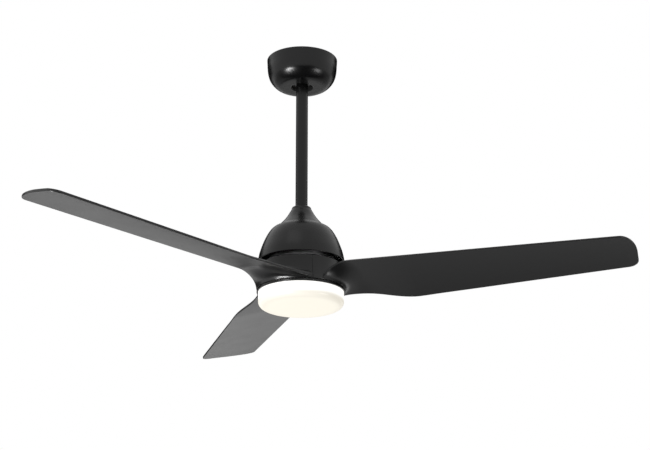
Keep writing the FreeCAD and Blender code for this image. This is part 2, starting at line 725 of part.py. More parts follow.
def shaft_circlips():
    """Spring rings on the shaft, above the upper and below the lower bearing."""
    shapes = []
    for low in (UPPER_BEARING, LOWER_BEARING - BEARING_WIDTH - CIRCLIP_THICK):
        clip = ring(SHAFT_RADIUS + 2.2, SHAFT_RADIUS, low, low + CIRCLIP_THICK)
        clip = clip.cut(block(0, 20, -3.0, 3.0, low - 1, low + CIRCLIP_THICK + 1))
        shapes.append(clip)
    return group(shapes)


# --- Motor: turning side ----------------------------------------------------------

FLUX_THICK = 3.0
MAGNET_OUTER = STATOR_RADIUS + AIR_GAP + MAGNET_THICK
FLUX_OUTER = MAGNET_OUTER + FLUX_THICK
BOLT_RADIUS = 2.0
BOLT_COUNT = 6
BOLT_CIRCLE = FLUX_OUTER + BOLT_RADIUS + 2.2
ROTOR_RADIUS = BOLT_CIRCLE + 3.5
FLANGE_RADIUS = HUB_TOP_RADIUS - HUB_WALL - 4.0


def shell_bolt_holes(bottom, top, radius):
    hole = Part.makeCylinder(radius, top - bottom, vec(BOLT_CIRCLE, 0, bottom))
    return around(hole, BOLT_COUNT, 30)


def rotor_shell_upper():
    """Upper motor cover with the upper bearing's seat."""
    floor = MOTOR_TOP - SHELL_WALL
    body = disc(ROTOR_RADIUS, MOTOR_MIDDLE, MOTOR_TOP)
    body = body.makeFillet(3.0, [e for e in body.Edges if e.Vertexes[0].Z > MOTOR_TOP - 0.01
                                 and len(e.Vertexes) == 1])
    body = body.cut(disc(FLUX_OUTER, MOTOR_MIDDLE - 1, floor))
    seat = ring(BEARING_OUTER_RADIUS + 3.5, BEARING_OUTER_RADIUS - 1.5,
                UPPER_BEARING - BEARING_WIDTH, UPPER_BEARING + 1.5)
    body = body.cut(disc(BEARING_OUTER_RADIUS - 1.5, floor - 5, MOTOR_TOP + 5)).fuse(seat)
    body = body.cut(disc(BEARING_OUTER_RADIUS, UPPER_BEARING - BEARING_WIDTH - 1, UPPER_BEARING))
    for hole in shell_bolt_holes(MOTOR_MIDDLE - 1, MOTOR_TOP + 1, BOLT_RADIUS):
        body = body.cut(hole)
    return body.removeSplitter()


def rotor_shell_lower():
    """Lower motor cover with the lower bearing's seat and the blade flange."""
    floor = MOTOR_BOTTOM + SHELL_WALL
    body = disc(ROTOR_RADIUS, MOTOR_BOTTOM, MOTOR_MIDDLE)
    body = body.fuse(disc(FLANGE_RADIUS, MOTOR_BOTTOM, floor + 1.5))
    body = body.cut(disc(FLUX_OUTER, floor, MOTOR_MIDDLE + 1))
    low = LOWER_BEARING - BEARING_WIDTH
    seat = ring(BEARING_OUTER_RADIUS + 3.5, BEARING_OUTER_RADIUS - 1.5, low - 1.5, LOWER_BEARING)
    body = body.cut(disc(BEARING_OUTER_RADIUS - 1.5, MOTOR_BOTTOM - 5, floor + 5)).fuse(seat)
    body = body.cut(disc(BEARING_OUTER_RADIUS, low, LOWER_BEARING + 1))
    for hole in shell_bolt_holes(MOTOR_BOTTOM + 6, MOTOR_MIDDLE + 1, BOLT_RADIUS):
        body = body.cut(hole)
    for hole in blade_screw_holes(MOTOR_BOTTOM - 1, floor + 3):
        body = body.cut(hole)
    return body.removeSplitter()


def rotor_bolts():
    """Bolts that close the two motor covers."""
    model = screw(3.0, 2.2, BOLT_RADIUS, MOTOR_HEIGHT - 10.0)
    one = placed(model, vec(BOLT_CIRCLE, 0, MOTOR_TOP))
    return group(around(one, BOLT_COUNT, 30))


def flux_span():
    low, high = stack_span()
    return low - 2.0, high + 2.0


def rotor_flux_ring():
    low, high = MOTOR_BOTTOM + SHELL_WALL, MOTOR_TOP - SHELL_WALL
    return ring(FLUX_OUTER, MAGNET_OUTER, low, high)


def rotor_magnets():
    """Curved magnets inside the flux ring, a small gap outside the stator."""
    low, high = flux_span()
    inner = STATOR_RADIUS + AIR_GAP
    body = ring(MAGNET_OUTER - GLUE, inner, low, high)
    angle = 360.0 / MAGNET_COUNT
    half = math.radians(angle * 0.46)
    reach = MAGNET_OUTER + 5.0
    wedge = Part.Face(Part.makePolygon([
        vec(0, 0, low), vec(reach, -reach * math.tan(half), low),
        vec(reach, reach * math.tan(half), low), vec(0, 0, low)])).extrude(vec(0, 0, high - low))
    return group(around(body.common(wedge), MAGNET_COUNT))


# --- Blades -----------------------------------------------------------------------

LEADING_Z_ROOT = HUB_TOP - 17.2      # leading edge height beside the hub
LEADING_Z_TIP = HUB_TOP - 10.2       # leading edge height at the tip
TRAILING_Z_HUB = HUB_BOTTOM + 3.3    # trailing edge height at the seam
TRAILING_Z_LOW = HUB_BOTTOM - 2.2    # trailing edge height where the blade is widest
TRAILING_Z_TIP = HUB_TOP - 32.8
LEADING_ROUND = 42.0         # rounding of the tip on the leading side
TRAILING_ROUND = 9.0
TIP_SLANT = 8.0              # how far the tip's leading side falls short
SECTION_COUNT = 13           # sections that the blade is lofted through
SECTION_MARGIN = 30.0        # the loft starts at this radius and ends this far past the tip


def leading_z(r):
    """Height of the leading edge, straight from the hub to the tip."""
    share = (r - 140.0) / (TIP_RADIUS - 140.0)
    return LEADING_Z_ROOT + (LEADING_Z_TIP - LEADING_Z_ROOT) * share


def trailing_z(r):
    """Height of the trailing edge: level at the hub, then rising to the tip."""
    if r < WIDEST_RADIUS:
        share = max(0.0, (r - HUB_BOTTOM_RADIUS) / (WIDEST_RADIUS - HUB_BOTTOM_RADIUS))
        return TRAILING_Z_HUB + (TRAILING_Z_LOW - TRAILING_Z_HUB) * share
    share = (r - WIDEST_RADIUS) / (TIP_RADIUS - WIDEST_RADIUS)
    return TRAILING_Z_LOW + (TRAILING_Z_TIP - TRAILING_Z_LOW) * share


def trailing_offset(r):
    share = (r - WIDEST_RADIUS) / (TIP_RADIUS - WIDEST_RADIUS)
    return ROOT_CHORD_OFFSET + (TIP_CHORD_OFFSET - ROOT_CHORD_OFFSET) * max(0.0, share)


def blade_section(r):
    """Closed cambered section across the blade at distance r from the axis."""
    front = -LEADING_OFFSET - 6.0
    back = ROOT_CHORD_OFFSET + 8.0
    slope = (trailing_z(r) - leading_z(r)) / (trailing_offset(r) + LEADING_OFFSET)
    upper = []
    lower = []
    steps = 6
    for n in range(steps + 1):
        share = n / steps
        across = front + (back - front) * share
        height = leading_z(r) + slope * (across + LEADING_OFFSET)
        bow = 1.0 - (2.0 * share - 1.0) ** 2
        height += BLADE_CAMBER * bow
        thick = BLADE_EDGE + (BLADE_MIDDLE - BLADE_EDGE) * bow
        upper.append(vec(r, across, height + thick / 2.0))
        lower.append(vec(r, across, height - thick / 2.0))
    top = Part.BSplineCurve()
    top.interpolate(upper)
    low = Part.BSplineCurve()
    low.interpolate(lower)
    front_edge = Part.LineSegment(lower[0], upper[0]).toShape()
    back_edge = Part.LineSegment(upper[-1], lower[-1]).toShape()
    return Part.Wire([front_edge, top.toShape(), back_edge, low.toShape()])


def planform():
    """Outline of the blade seen from above, as a tall prism."""
    seam = math.radians(SEAM_ANGLE)
    hub = HUB_BOTTOM_RADIUS
    seam_back = vec(hub * math.cos(seam), hub * math.sin(seam), 0)
    seam_front = vec(hub * math.cos(seam), -hub * math.sin(seam), 0)
    tail_start = vec(hub + 14.0, hub - 21.0, 0)
    tail_mid = vec(hub - 20.0, hub - 19.4, 0)
    valley = vec(hub + 47.0, (hub + ROOT_CHORD_OFFSET) / 2.0 - 17.9, 0)
    swell_mid = vec(WIDEST_RADIUS - 57.0, ROOT_CHORD_OFFSET - 8.8, 0)
    swell_end = vec(WIDEST_RADIUS - 35.0, ROOT_CHORD_OFFSET - 3.0, 0)
    crest_mid = vec(WIDEST_RADIUS - 19.0, ROOT_CHORD_OFFSET - 0.4, 0)
    crest = vec(WIDEST_RADIUS, ROOT_CHORD_OFFSET, 0)
    back_corner = vec(TIP_RADIUS - 2.0, TIP_CHORD_OFFSET, 0)
    run = back_corner.sub(crest).normalize()
    edge = vec(TIP_RADIUS - TIP_SLANT, -LEADING_OFFSET + 2.0, 0)
    up = edge.sub(back_corner).normalize()
    back_in = back_corner.sub(run * TRAILING_ROUND)
    back_out = back_corner.add(up * TRAILING_ROUND)
    back_mid = back_corner.sub(run * TRAILING_ROUND * 0.3).add(up * TRAILING_ROUND * 0.3)
    front_corner = vec(TIP_RADIUS - TIP_SLANT, -LEADING_OFFSET + 2.0, 0)
    front_out = front_corner.sub(up * LEADING_ROUND)
    lead = vec(1, 0, 0)
    front_in = front_corner.sub(lead * LEADING_ROUND)
    front_mid = front_corner.sub(up * LEADING_ROUND * 0.29).sub(lead * LEADING_ROUND * 0.29)
    front_start = vec(HUB_BOTTOM_RADIUS * 0.72, -LEADING_OFFSET, 0)
    edges = [
        Part.Arc(seam_back, tail_mid, tail_start).toShape(),
        Part.Arc(tail_start, valley, swell_mid).toShape(),
        Part.LineSegment(swell_mid, swell_end).toShape(),
        Part.Arc(swell_end, crest_mid, crest).toShape(),
        Part.LineSegment(crest, back_in).toShape(),
        Part.Arc(back_in, back_mid, back_out).toShape(),
        Part.LineSegment(back_out, front_out).toShape(),
        Part.Arc(front_out, front_mid, front_in).toShape(),
        Part.LineSegment(front_in, front_start).toShape(),
        Part.LineSegment(front_start, seam_front).toShape(),
        Part.LineSegment(seam_front, vec(0, 0, 0)).toShape(),
        Part.LineSegment(vec(0, 0, 0), seam_back).toShape()]
    face = Part.Face(Part.Wire(edges))
    return face.translated(vec(0, 0, HUB_BOTTOM - 60.0)).extrude(vec(0, 0, 200.0))


def hub_wall(offset):
    """Solid of the hub's outside, moved inwards by offset."""
    return polygon_solid([(0, HUB_BOTTOM), (HUB_BOTTOM_RADIUS - offset, HUB_BOTTOM),
                          (HUB_BOTTOM_RADIUS - 5.0 - offset, HUB_BOTTOM + 16.0),
                          (HUB_TOP_RADIUS - offset, HUB_TOP), (0, HUB_TOP)])


def seam_wedge():
    """Third of the hub that belongs to one blade, short of both seams."""
    half = SEAM_GAP / 2.0
    angle = math.radians(SEAM_ANGLE)
    reach = 400.0
    shift = half / math.sin(angle)
    points = [vec(shift, 0, 0), vec(shift + reach * math.cos(angle), -reach * math.sin(angle), 0),
              vec(reach * 2, 0, 0), vec(shift + reach * math.cos(angle), reach * math.sin(angle), 0),
              vec(shift, 0, 0)]
    face = Part.Face(Part.makePolygon(points)).translated(vec(0, 0, HUB_BOTTOM - 60))
    return face.extrude(vec(0, 0, 200))


def blade():
    """Blade 1, moulded in one with its third of the hub and its mounting web."""
    step = TIP_RADIUS / (SECTION_COUNT - 1)
    sections = [blade_section(SECTION_MARGIN + step * n) for n in range(SECTION_COUNT)]
    slab = Part.makeLoft(sections, True, True)
    wing = slab.common(planform()).cut(hub_wall(HUB_WALL))
    wall = hub_wall(0.0).cut(hub_wall(HUB_WALL).fuse(disc(40, HUB_BOTTOM - 5, HUB_TOP + 5)))
    web = ring(HUB_TOP_RADIUS + 1.0, BLADE_SCREW_CIRCLE - 10.0, WEB_TOP - WEB_THICK, WEB_TOP)
    body = wing.multiFuse([wall.cut(hub_wall(HUB_WALL)), web])
    body = body.common(seam_wedge())
    for hole in blade_screw_holes(WEB_TOP - WEB_THICK - 1, WEB_TOP + 1):
        body = body.cut(hole)
    return body.removeSplitter()


BLADE_SCREW_RADIUS = 2.5
BLADE_SCREW_CIRCLE = FLANGE_RADIUS - 18.0
BLADE_SCREW_ANGLES = (-38.0, 0.0, 38.0)


def blade_screw_holes(bottom, top):
    """Three holes at each blade's root."""
    holes = []
    for blade_number in range(BLADE_COUNT):
        for angle in BLADE_SCREW_ANGLES:
            hole = Part.makeCylinder(BLADE_SCREW_RADIUS, top - bottom, vec(BLADE_SCREW_CIRCLE, 0, bottom))
            holes.append(turned(hole, 360.0 * blade_number / BLADE_COUNT + angle))
    return holes


def blade_screws():
    """Screws from below through each blade's web into the motor's flange."""
    model = screw(4.4, 2.6, BLADE_SCREW_RADIUS, WEB_THICK + SHELL_WALL - 0.2)
    one = placed(model, vec(BLADE_SCREW_CIRCLE, 0, WEB_TOP - WEB_THICK), vec(0, 0, -1))
    shapes = []
    for blade_number in range(BLADE_COUNT):
        for angle in BLADE_SCREW_ANGLES:
            shapes.append(turned(one, 360.0 * blade_number / BLADE_COUNT + angle))
    return group(shapes)


# --- Light ------------------------------------------------------------------------

PAN_SCREW_CIRCLE = LIGHT_RADIUS - 6.0
PAN_SCREW_RADIUS = 1.5


def light_pan():
    """Steel disc on the shaft's end that carries the driver, the LEDs and the trim ring."""
    pan = ring(TRIM_RADIUS - 5.0, SHAFT_RADIUS, PAN_TOP - PAN_THICK, PAN_TOP)
    hole = Part.makeCylinder(PAN_SCREW_RADIUS, 10, vec(PAN_SCREW_CIRCLE, 0, PAN_TOP - 6))
    for one in around(hole, 3, 60):
        pan = pan.cut(one)
    return pan


PAN_NUT_HEIGHT = 6.0


def light_pan_nut():
    top = PAN_TOP - PAN_THICK
    nut = hexagon_nut(SHAFT_RADIUS + NUT_MARGIN, PAN_NUT_HEIGHT).translated(vec(0, 0, top - PAN_NUT_HEIGHT))
    return nut.cut(disc(SHAFT_RADIUS, top - 20, top + 1))


def light_trim_ring():
    """Thin ring around the diffuser's mouth, with a ledge that screws under the pan."""
    low = TRIM_TOP - TRIM_HEIGHT
    ledge_top = PAN_TOP - PAN_THICK
    body = polygon_solid([(TRIM_RADIUS, TRIM_TOP), (TRIM_RADIUS, low), (LIGHT_RADIUS + SHEET_GAP, low),
                          (LIGHT_RADIUS + SHEET_GAP, LIGHT_TOP), (LIGHT_RADIUS - 9.0, LIGHT_TOP),
                          (LIGHT_RADIUS - 9.0, ledge_top), (TRIM_RADIUS - 4.0, ledge_top),
                          (TRIM_RADIUS - 4.0, TRIM_TOP)])
    hole = Part.makeCylinder(PAN_SCREW_RADIUS, 10, vec(PAN_SCREW_CIRCLE, 0, LIGHT_TOP - 5))
    for one in around(hole, 3, 60):
        body = body.cut(one)
    return body


def light_screws():
    """Three screws from above through the pan into the trim ring."""
    model = screw(2.8, 1.8, PAN_SCREW_RADIUS, PAN_TOP - LIGHT_TOP)
    one = placed(model, vec(PAN_SCREW_CIRCLE, 0, PAN_TOP))
    return group(around(one, 3, 60))


LED_BOARD_THICK = 1.6
LED_BOARD_RADIUS = LIGHT_RADIUS - 14.0


def led_board():
    """Round aluminium board under the pan."""
    top = PAN_TOP - PAN_THICK
    return ring(LED_BOARD_RADIUS, 17.0, top - LED_BOARD_THICK, top)


def led_chips():
    low = PAN_TOP - PAN_THICK - LED_BOARD_THICK
    shapes = []
    circles = ((LED_BOARD_RADIUS - 12.0, LED_COUNT_OUTER), (LED_BOARD_RADIUS / 2.0, LED_COUNT_INNER))
    for radius, count in circles:
        chip = block(radius - 1.9, radius + 1.9, -1.6, 1.6, low - 0.8, low)
        shapes.extend(around(chip, count))
    return group(shapes)


def led_driver():
    """Power supply of the light, on top of the pan beside the shaft."""
    case = block(-40, 40, 17, 55, PAN_TOP, PAN_TOP + 18.0)
    case = case.makeFillet(2.0, upright_edges(case))
    foot = block(-46, 46, 22, 50, PAN_TOP, PAN_TOP + 1.5)
    return case.fuse(foot).removeSplitter()


def diffuser():
    """Opal dish: a straight side wall, a rounded edge and a nearly flat bottom."""
    r = LIGHT_RADIUS
    t = DIFFUSER_WALL
    top = LIGHT_TOP
    low = LIGHT_TOP - LIGHT_HEIGHT + 1.5
    e = LIGHT_EDGE
    k = e * (1 - math.sqrt(0.5))
    q = (e - t) * (1 - math.sqrt(0.5))
    o_side = (r, low + e)
    o_corner = (r - k, low + k)
    o_floor = (r - e, low)
    crown = (0, low - 1.5)
    i_crown = (0, low - 1.5 + t)
    i_floor = (r - e, low + t)
    i_corner = (r - t - q, low + t + q)
    i_side = (r - t, low + e)
    return profile_solid([
        line((r, top), o_side), arc(o_side, o_corner, o_floor),
        line(o_floor, crown), line(crown, i_crown), line(i_crown, i_floor),
        arc(i_floor, i_corner, i_side), line(i_side, (r - t, top)), line((r - t, top), (r, top))])


# --- Wiring inside the rod and the shaft ------------------------------------------

CABLE_RADIUS = 2.2
CABLE_CLEAR = 0.2            # cable to the cross pins
LEAD_BEND = 6.0


def rod_cable():
    """Motor and light cable: down the rod beside both cross pins, then down the shaft."""
    beside = vec(PIN_RADIUS + CABLE_RADIUS + CABLE_CLEAR, CLEVIS_RADIUS + CABLE_RADIUS + CABLE_CLEAR, 0)
    high = clevis_z() - CLEVIS_RADIUS - 0.5
    low = SHAFT_TOP - 4.5
    middle = beside * 0.5
    shift = beside.Length
    turn = 2 * math.atan(shift / (high - low))
    radius = (high - low) / (2 * math.sin(turn))
    quarter = beside * (radius * (1 - math.cos(turn / 2.0)) / shift)
    drop = radius * math.sin(turn / 2.0)
    start = beside.add(vec(0, 0, ROD_TOP))
    bend_start = beside.add(vec(0, 0, high))
    bend_one = beside.sub(quarter).add(vec(0, 0, high - drop))
    bend_middle = middle.add(vec(0, 0, (high + low) / 2.0))
    bend_two = quarter.add(vec(0, 0, low + drop))
    bend_end = vec(0, 0, low)
    end = vec(0, 0, LEAD_Z + LEAD_BEND)
    path = Part.Wire([
        Part.LineSegment(start, bend_start).toShape(),
        Part.Arc(bend_start, bend_one, bend_middle).toShape(),
        Part.Arc(bend_middle, bend_two, bend_end).toShape(),
        Part.LineSegment(bend_end, end).toShape()])
    section = Part.Wire(Part.makeCircle(CABLE_RADIUS, start, Z))
    print("rod_cable bend radius %.1f mm" % radius)
    return path.makePipeShell([section], True, True)


def light_lead():
    """Lead from the cable's end, out of the shaft's side hole to the driver."""
    top = LEAD_Z + LEAD_BEND
    bend = LEAD_BEND
    corner = bend * (1 - math.sqrt(0.5))
    curve = Part.Arc(vec(0, 0, top), vec(0, corner, LEAD_Z + corner), vec(0, bend, LEAD_Z)).toShape()
    straight = Part.LineSegment(vec(0, bend, LEAD_Z), vec(0, 17.0, LEAD_Z)).toShape()
    section = Part.Wire(Part.makeCircle(LEAD_RADIUS, vec(0, 0, top), Z))
    return Part.Wire([curve, straight]).makePipeShell([section], True, True)


# --- Write the files --------------------------------------------------------------

def all_parts():
    parts = {
        "mounting_bracket": mounting_bracket(), "canopy": canopy(),
        "canopy_screws": canopy_screws(), "earth_screw": earth_screw(),
        "receiver_case": receiver_case(), "receiver_lid": receiver_lid(),
        "receiver_board": receiver_board(), "hanger_pin": hanger_pin(),
        "hanger_ball": hanger_ball(), "ball_set_screw": ball_set_screw(),
        "downrod": downrod(), "yoke": yoke(), "clevis_pin": clevis_pin(),
        "cotter_clip": cotter_clip(), "yoke_set_screws": yoke_set_screws(),
        "neck_cover": neck_cover(), "motor_housing": motor_housing(),
        "housing_screws": housing_screws(), "motor_shaft": motor_shaft(),
        "shaft_locknut": shaft_locknut(), "stator_carrier": stator_carrier(),
        "stator_core": stator_core(), "stator_insulators": stator_insulators(),
        "stator_windings": stator_windings(), "sensor_board": sensor_board(),
        "shaft_circlips": shaft_circlips(), "rotor_shell_upper": rotor_shell_upper(),
        "rotor_shell_lower": rotor_shell_lower(), "rotor_bolts": rotor_bolts(),
        "rotor_flux_ring": rotor_flux_ring(), "rotor_magnets": rotor_magnets(),
        "blade_screws": blade_screws(), "light_pan": light_pan(),
        "light_pan_nut": light_pan_nut(), "light_trim_ring": light_trim_ring(),
        "light_screws": light_screws(), "led_board": led_board(),
        "led_chips": led_chips(), "led_driver": led_driver(), "diffuser": diffuser(),
        "rod_cable": rod_cable(), "light_lead": light_lead()}
    for name, top in BEARING_TOPS.items():
        parts[name + "_inner_race"] = inner_race(top)
        parts[name + "_outer_race"] = outer_race(top)
        parts[name + "_bearing_balls"] = bearing_balls(top)
        parts[name + "_bearing_cage"] = bearing_cage(top)
    first = blade()
    for number in range(BLADE_COUNT):
        parts["blade_%d" % (number + 1)] = turned(first, 360.0 * number / BLADE_COUNT)
    return parts


os.makedirs("parts", exist_ok=True)
for node, shape in all_parts().items():
    if not shape.isValid():
        raise ValueError(node + " is not a valid shape")
    shape.exportStep("parts/" + node + ".step")
    print("%-24s %2d solids %12.1f mm3" % (node, len(shape.Solids), shape.Volume))
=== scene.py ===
"""Looks of a black ceiling fan with a round light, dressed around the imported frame.

The fan hangs below the ceiling plane z = 0 and turns about the Z axis.  Its sizes are in
millimetres, as a drawing has them, and build_piece turns them to metres; the studio's are
in metres.  New surfaces are worked out as whole numpy grids; each function says its formula.
"""

import json
import logging
import math
from collections.abc import Sequence
from dataclasses import dataclass, field
from enum import Enum

import bpy
import numpy as np
from mathutils import Matrix, Vector


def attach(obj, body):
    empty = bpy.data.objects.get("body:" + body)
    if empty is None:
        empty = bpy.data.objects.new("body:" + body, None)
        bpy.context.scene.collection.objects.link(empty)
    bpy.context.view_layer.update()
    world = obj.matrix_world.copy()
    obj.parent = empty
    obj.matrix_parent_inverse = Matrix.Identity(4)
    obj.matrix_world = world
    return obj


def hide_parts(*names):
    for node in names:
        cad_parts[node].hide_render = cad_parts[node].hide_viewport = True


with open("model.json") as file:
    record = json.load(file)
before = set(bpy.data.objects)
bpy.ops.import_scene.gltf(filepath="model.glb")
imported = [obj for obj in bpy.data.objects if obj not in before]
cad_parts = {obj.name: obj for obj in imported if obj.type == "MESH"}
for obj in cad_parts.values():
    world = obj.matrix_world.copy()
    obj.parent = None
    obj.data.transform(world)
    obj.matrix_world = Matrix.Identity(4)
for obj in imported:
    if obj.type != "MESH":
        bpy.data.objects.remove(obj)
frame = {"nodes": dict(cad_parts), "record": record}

LOG = logging.getLogger("ceiling_fan")
MM = 0.001
Array = np.ndarray
Point = tuple[float, float]
Place = tuple[float, float, float]
Colour = tuple[float, float, float]
Node, Socket, Tree = bpy.types.Node, bpy.types.NodeSocket, bpy.types.NodeTree
Object, Material = bpy.types.Object, bpy.types.Material


# --- Surfaces -----------------------------------------------------------------------


@dataclass
class Surface:
    """A mesh in arrays: points in millimetres, and faces as lists of point numbers."""

    points: Array
    faces: list[Array]

    def turned(self, degrees: float) -> "Surface":
        """The same surface turned about the Z axis: (x cos a - y sin a, x sin a + y cos a, z)."""
        c, s = math.cos(math.radians(degrees)), math.sin(math.radians(degrees))
        turn = np.array([[c, -s, 0.0], [s, c, 0.0], [0.0, 0.0, 1.0]])
        return Surface(self.points @ turn.T, self.faces)

    def with_others(self, *others: "Surface") -> "Surface":
        """One surface of separate shells: the points in a row, and face numbers shifted to match.

        Args:
            others: The surfaces to add.

        Returns:
            The joint surface.
        """
        points, faces, count = [self.points], list(self.faces), len(self.points)
        for other in others:
            points.append(other.points)
            faces.extend(block + count for block in other.faces)
            count += len(other.points)
        return Surface(np.concatenate(points), faces)


def cells(index: Array) -> Array:
    """Four-sided faces of a grid of point numbers, each (k, i), (k, i+1), (k+1, i+1), (k+1, i)."""
    return np.stack([index[:-1, :-1], index[:-1, 1:], index[1:, 1:], index[1:, :-1]], axis=-1).reshape(-1, 4)


def grid_faces(rows: int, columns: int, close_rows: bool = False, close_columns: bool = False) -> Array:
    """Four-sided faces of a grid of points stored row by row.

    Args:
        rows: Number of rows.
        columns: Number of points in a row.
        close_rows: Whether the last row joins the first.
        close_columns: Whether each row's end joins its start.

    Returns:
        Point numbers, four to a face.
    """
    index = np.arange(rows * columns).reshape(rows, columns)
    return cells(np.pad(index, ((0, close_rows), (0, close_columns)), mode="wrap"))


def smooth_line(knots: Sequence[Point], count: int) -> Array:
    """Natural cubic spline through the knots, with chord length as its parameter.

    Between two knots it is a*P + b*Q + ((a^3 - a)*P'' + (b^3 - b)*Q'')*h^2/6, where b runs
    from 0 to 1, a = 1 - b, h is the chord, and the bends P'' solve the usual band matrix.

    Args:
        knots: Points of the line.
        count: Number of points wanted.

    Returns:
        The points, count by 2.
    """
    knot = np.asarray(knots, float)
    along = np.concatenate([[0.0], np.cumsum(np.linalg.norm(np.diff(knot, axis=0), axis=1))])
    gap = np.diff(along)
    inner = np.arange(1, len(knot) - 1)
    band = np.eye(len(knot))
    band[inner, inner - 1] = gap[:-1]
    band[inner, inner] = 2.0 * (gap[:-1] + gap[1:])
    band[inner, inner + 1] = gap[1:]
    load = np.zeros_like(knot)
    load[inner] = 6.0 * np.diff(np.diff(knot, axis=0) / gap[:, None], axis=0)
    bend = np.linalg.solve(band, load)
    at = np.linspace(0.0, along[-1], count)
    k = np.clip(np.searchsorted(along, at, side="right") - 1, 0, len(knot) - 2)
    b = ((at - along[k]) / gap[k])[:, None]
    a = 1.0 - b
    curve = ((a**3 - a) * bend[k] + (b**3 - b) * bend[k + 1]) * gap[k][:, None] ** 2 / 6.0
    return a * knot[k] + b * knot[k + 1] + curve


def rounded_loop(corners: Sequence[Point], radii: Sequence[float], steps: int = 5) -> Array:
    """Closed outline of straight runs whose corners are arcs that touch both runs.

    At a corner P with unit directions u and v to its neighbours and half angle h, the arc's
    ends are P + u*r/tan h and P + v*r/tan h, its centre P + (u + v)/|u + v| * r/sin h, and
    the points between are turned evenly from one end's radius to the other's.

    Args:
        corners: The outline's corners in order.
        radii: The rounding of each corner.
        steps: Runs in each arc.

    Returns:
        The outline's points.
    """
    corner = np.asarray(corners, float)
    radius = np.asarray(radii, float)[:, None]
    u = np.roll(corner, 1, axis=0) - corner
    v = np.roll(corner, -1, axis=0) - corner
    u /= np.linalg.norm(u, axis=1, keepdims=True)
    v /= np.linalg.norm(v, axis=1, keepdims=True)
    half = np.arccos(np.clip((u * v).sum(1, keepdims=True), -1.0, 1.0)) / 2.0
    middle = (u + v) / np.linalg.norm(u + v, axis=1, keepdims=True)
    centre = corner + middle * radius / np.sin(half)
    first = corner + u * radius / np.tan(half) - centre
    last = corner + v * radius / np.tan(half) - centre
    sweep = (math.pi - 2.0 * half)[:, None, :]
    share = np.linspace(0.0, 1.0, steps + 1)[None, :, None]
    arc = np.sin((1.0 - share) * sweep) * first[:, None] + np.sin(share * sweep) * last[:, None]
    return (centre[:, None] + arc / np.sin(sweep)).reshape(-1, 2)


def unit_tangents(line: Array, closed: bool = False) -> Array:
    """Direction of travel at each point: the difference of its neighbours, made unit length."""
    step = np.roll(line, -1, axis=0) - np.roll(line, 1, axis=0) if closed else np.gradient(line, axis=0)
    return step / np.maximum(np.linalg.norm(step, axis=1, keepdims=True), 1e-12)


def sheet_loop(line: Array, wall: float, steps: int = 6) -> Array:
    """Section of a bent sheet: the line, a half-round edge, the line moved by the wall, and an edge back.

    The inner line is P + wall * n, where n is the right-hand normal of the travel.  Each edge
    is a half circle of the wall's radius about the middle of the wall.

    Args:
        line: Outer side, travelled so that the inside is on the right.
        wall: Thickness of the sheet.
        steps: Runs in each half-round edge.

    Returns:
        The closed section.
    """
    along = unit_tangents(line)
    inward = np.stack([along[:, 1], -along[:, 0]], axis=1)
    turn = np.linspace(0.0, math.pi, steps + 1)[1:-1, None]
    half = wall / 2.0
    far = line[-1] + inward[-1] * half + half * (along[-1] * np.sin(turn) - inward[-1] * np.cos(turn))
    near = line[0] + inward[0] * half + half * (inward[0] * np.cos(turn) - along[0] * np.sin(turn))
    return np.concatenate([line, far, (line + inward * wall)[::-1], near])


def spun(line: Array, turns: Array) -> Array:
    """Points of a line (r, z), the same or another one at each turn t: (r cos t, r sin t, z)."""
    r, t = line[..., 0], turns[:, None]
    x, y = r * np.cos(t), r * np.sin(t)
    return np.stack([x, y, np.broadcast_to(line[..., 1], x.shape)], axis=-1).reshape(-1, 3)


def full_turn(count: int) -> Array:
    """Turns all the way round, evenly spaced."""
    return np.arange(count) * 2.0 * math.pi / count


def turned_ring(loop: Array, count: int = 192) -> Surface:
    """Ring whose section is the loop."""
    return Surface(spun(loop, full_turn(count)), [grid_faces(count, len(loop), True, True)])


def turned_dish(line: Array, count: int = 192) -> Surface:
    """Closed solid of revolution whose line starts and ends on the axis.

    Args:
        line: The section from one pole to the other; a fan of triangles closes each pole.
        count: Steps around.

    Returns:
        The closed surface.
    """
    wide = len(line) - 2
    poles = np.array([[0.0, 0.0, line[0, 1]], [0.0, 0.0, line[-1, 1]]])
    k = np.arange(count) * wide
    after = np.roll(k, -1)
    start = np.full(count, count * wide)
    first = np.stack([start, k, after], axis=1)
    last = np.stack([k + wide - 1, start + 1, after + wide - 1], axis=1)
    points = np.concatenate([spun(line[1:-1], full_turn(count)), poles])
    return Surface(points, [grid_faces(count, wide, True), first, last])


def turned_sector(loop: Array, reach: float, edge: float, step: float = 2.0) -> Surface:
    """Part of a ring with rounded ends, closed by a flat face at each end.

    The loop is carried from turn -reach to +reach.  At distance a from an end, each point
    moves along the loop's inward normal by e*(1 - sqrt(1 - (1 - a/e)^2)), a quarter round.

    Args:
        loop: Section, travelled down its outside.
        reach: Half of the turn, in degrees.
        edge: Radius e of the rounding at both ends.
        step: Degrees between the sections in the middle.

    Returns:
        The closed surface.
    """
    radius = loop[:, 0].max()
    limit = math.radians(reach)
    near = edge / radius * np.linspace(0.0, 1.0, 6) ** 2
    inner = np.linspace(near[-1], limit, max(3, int(reach / step)) + 1)[1:]
    half = np.concatenate([near, inner]) - limit
    t = np.concatenate([half, -half[-2::-1]])
    gap = (limit - np.abs(t)) * radius
    inset = edge * (1.0 - np.sqrt(1.0 - (1.0 - np.minimum(gap / edge, 1.0)) ** 2))
    along = unit_tangents(loop, closed=True)
    inward = np.stack([along[:, 1], -along[:, 0]], axis=1)
    points = spun(loop[None] + inset[:, None, None] * inward[None], t)
    wide = len(loop)
    start = np.arange(wide)[None, ::-1]
    end = np.arange(wide)[None] + (len(t) - 1) * wide
    return Surface(points, [grid_faces(len(t), wide, False, True), start, end])


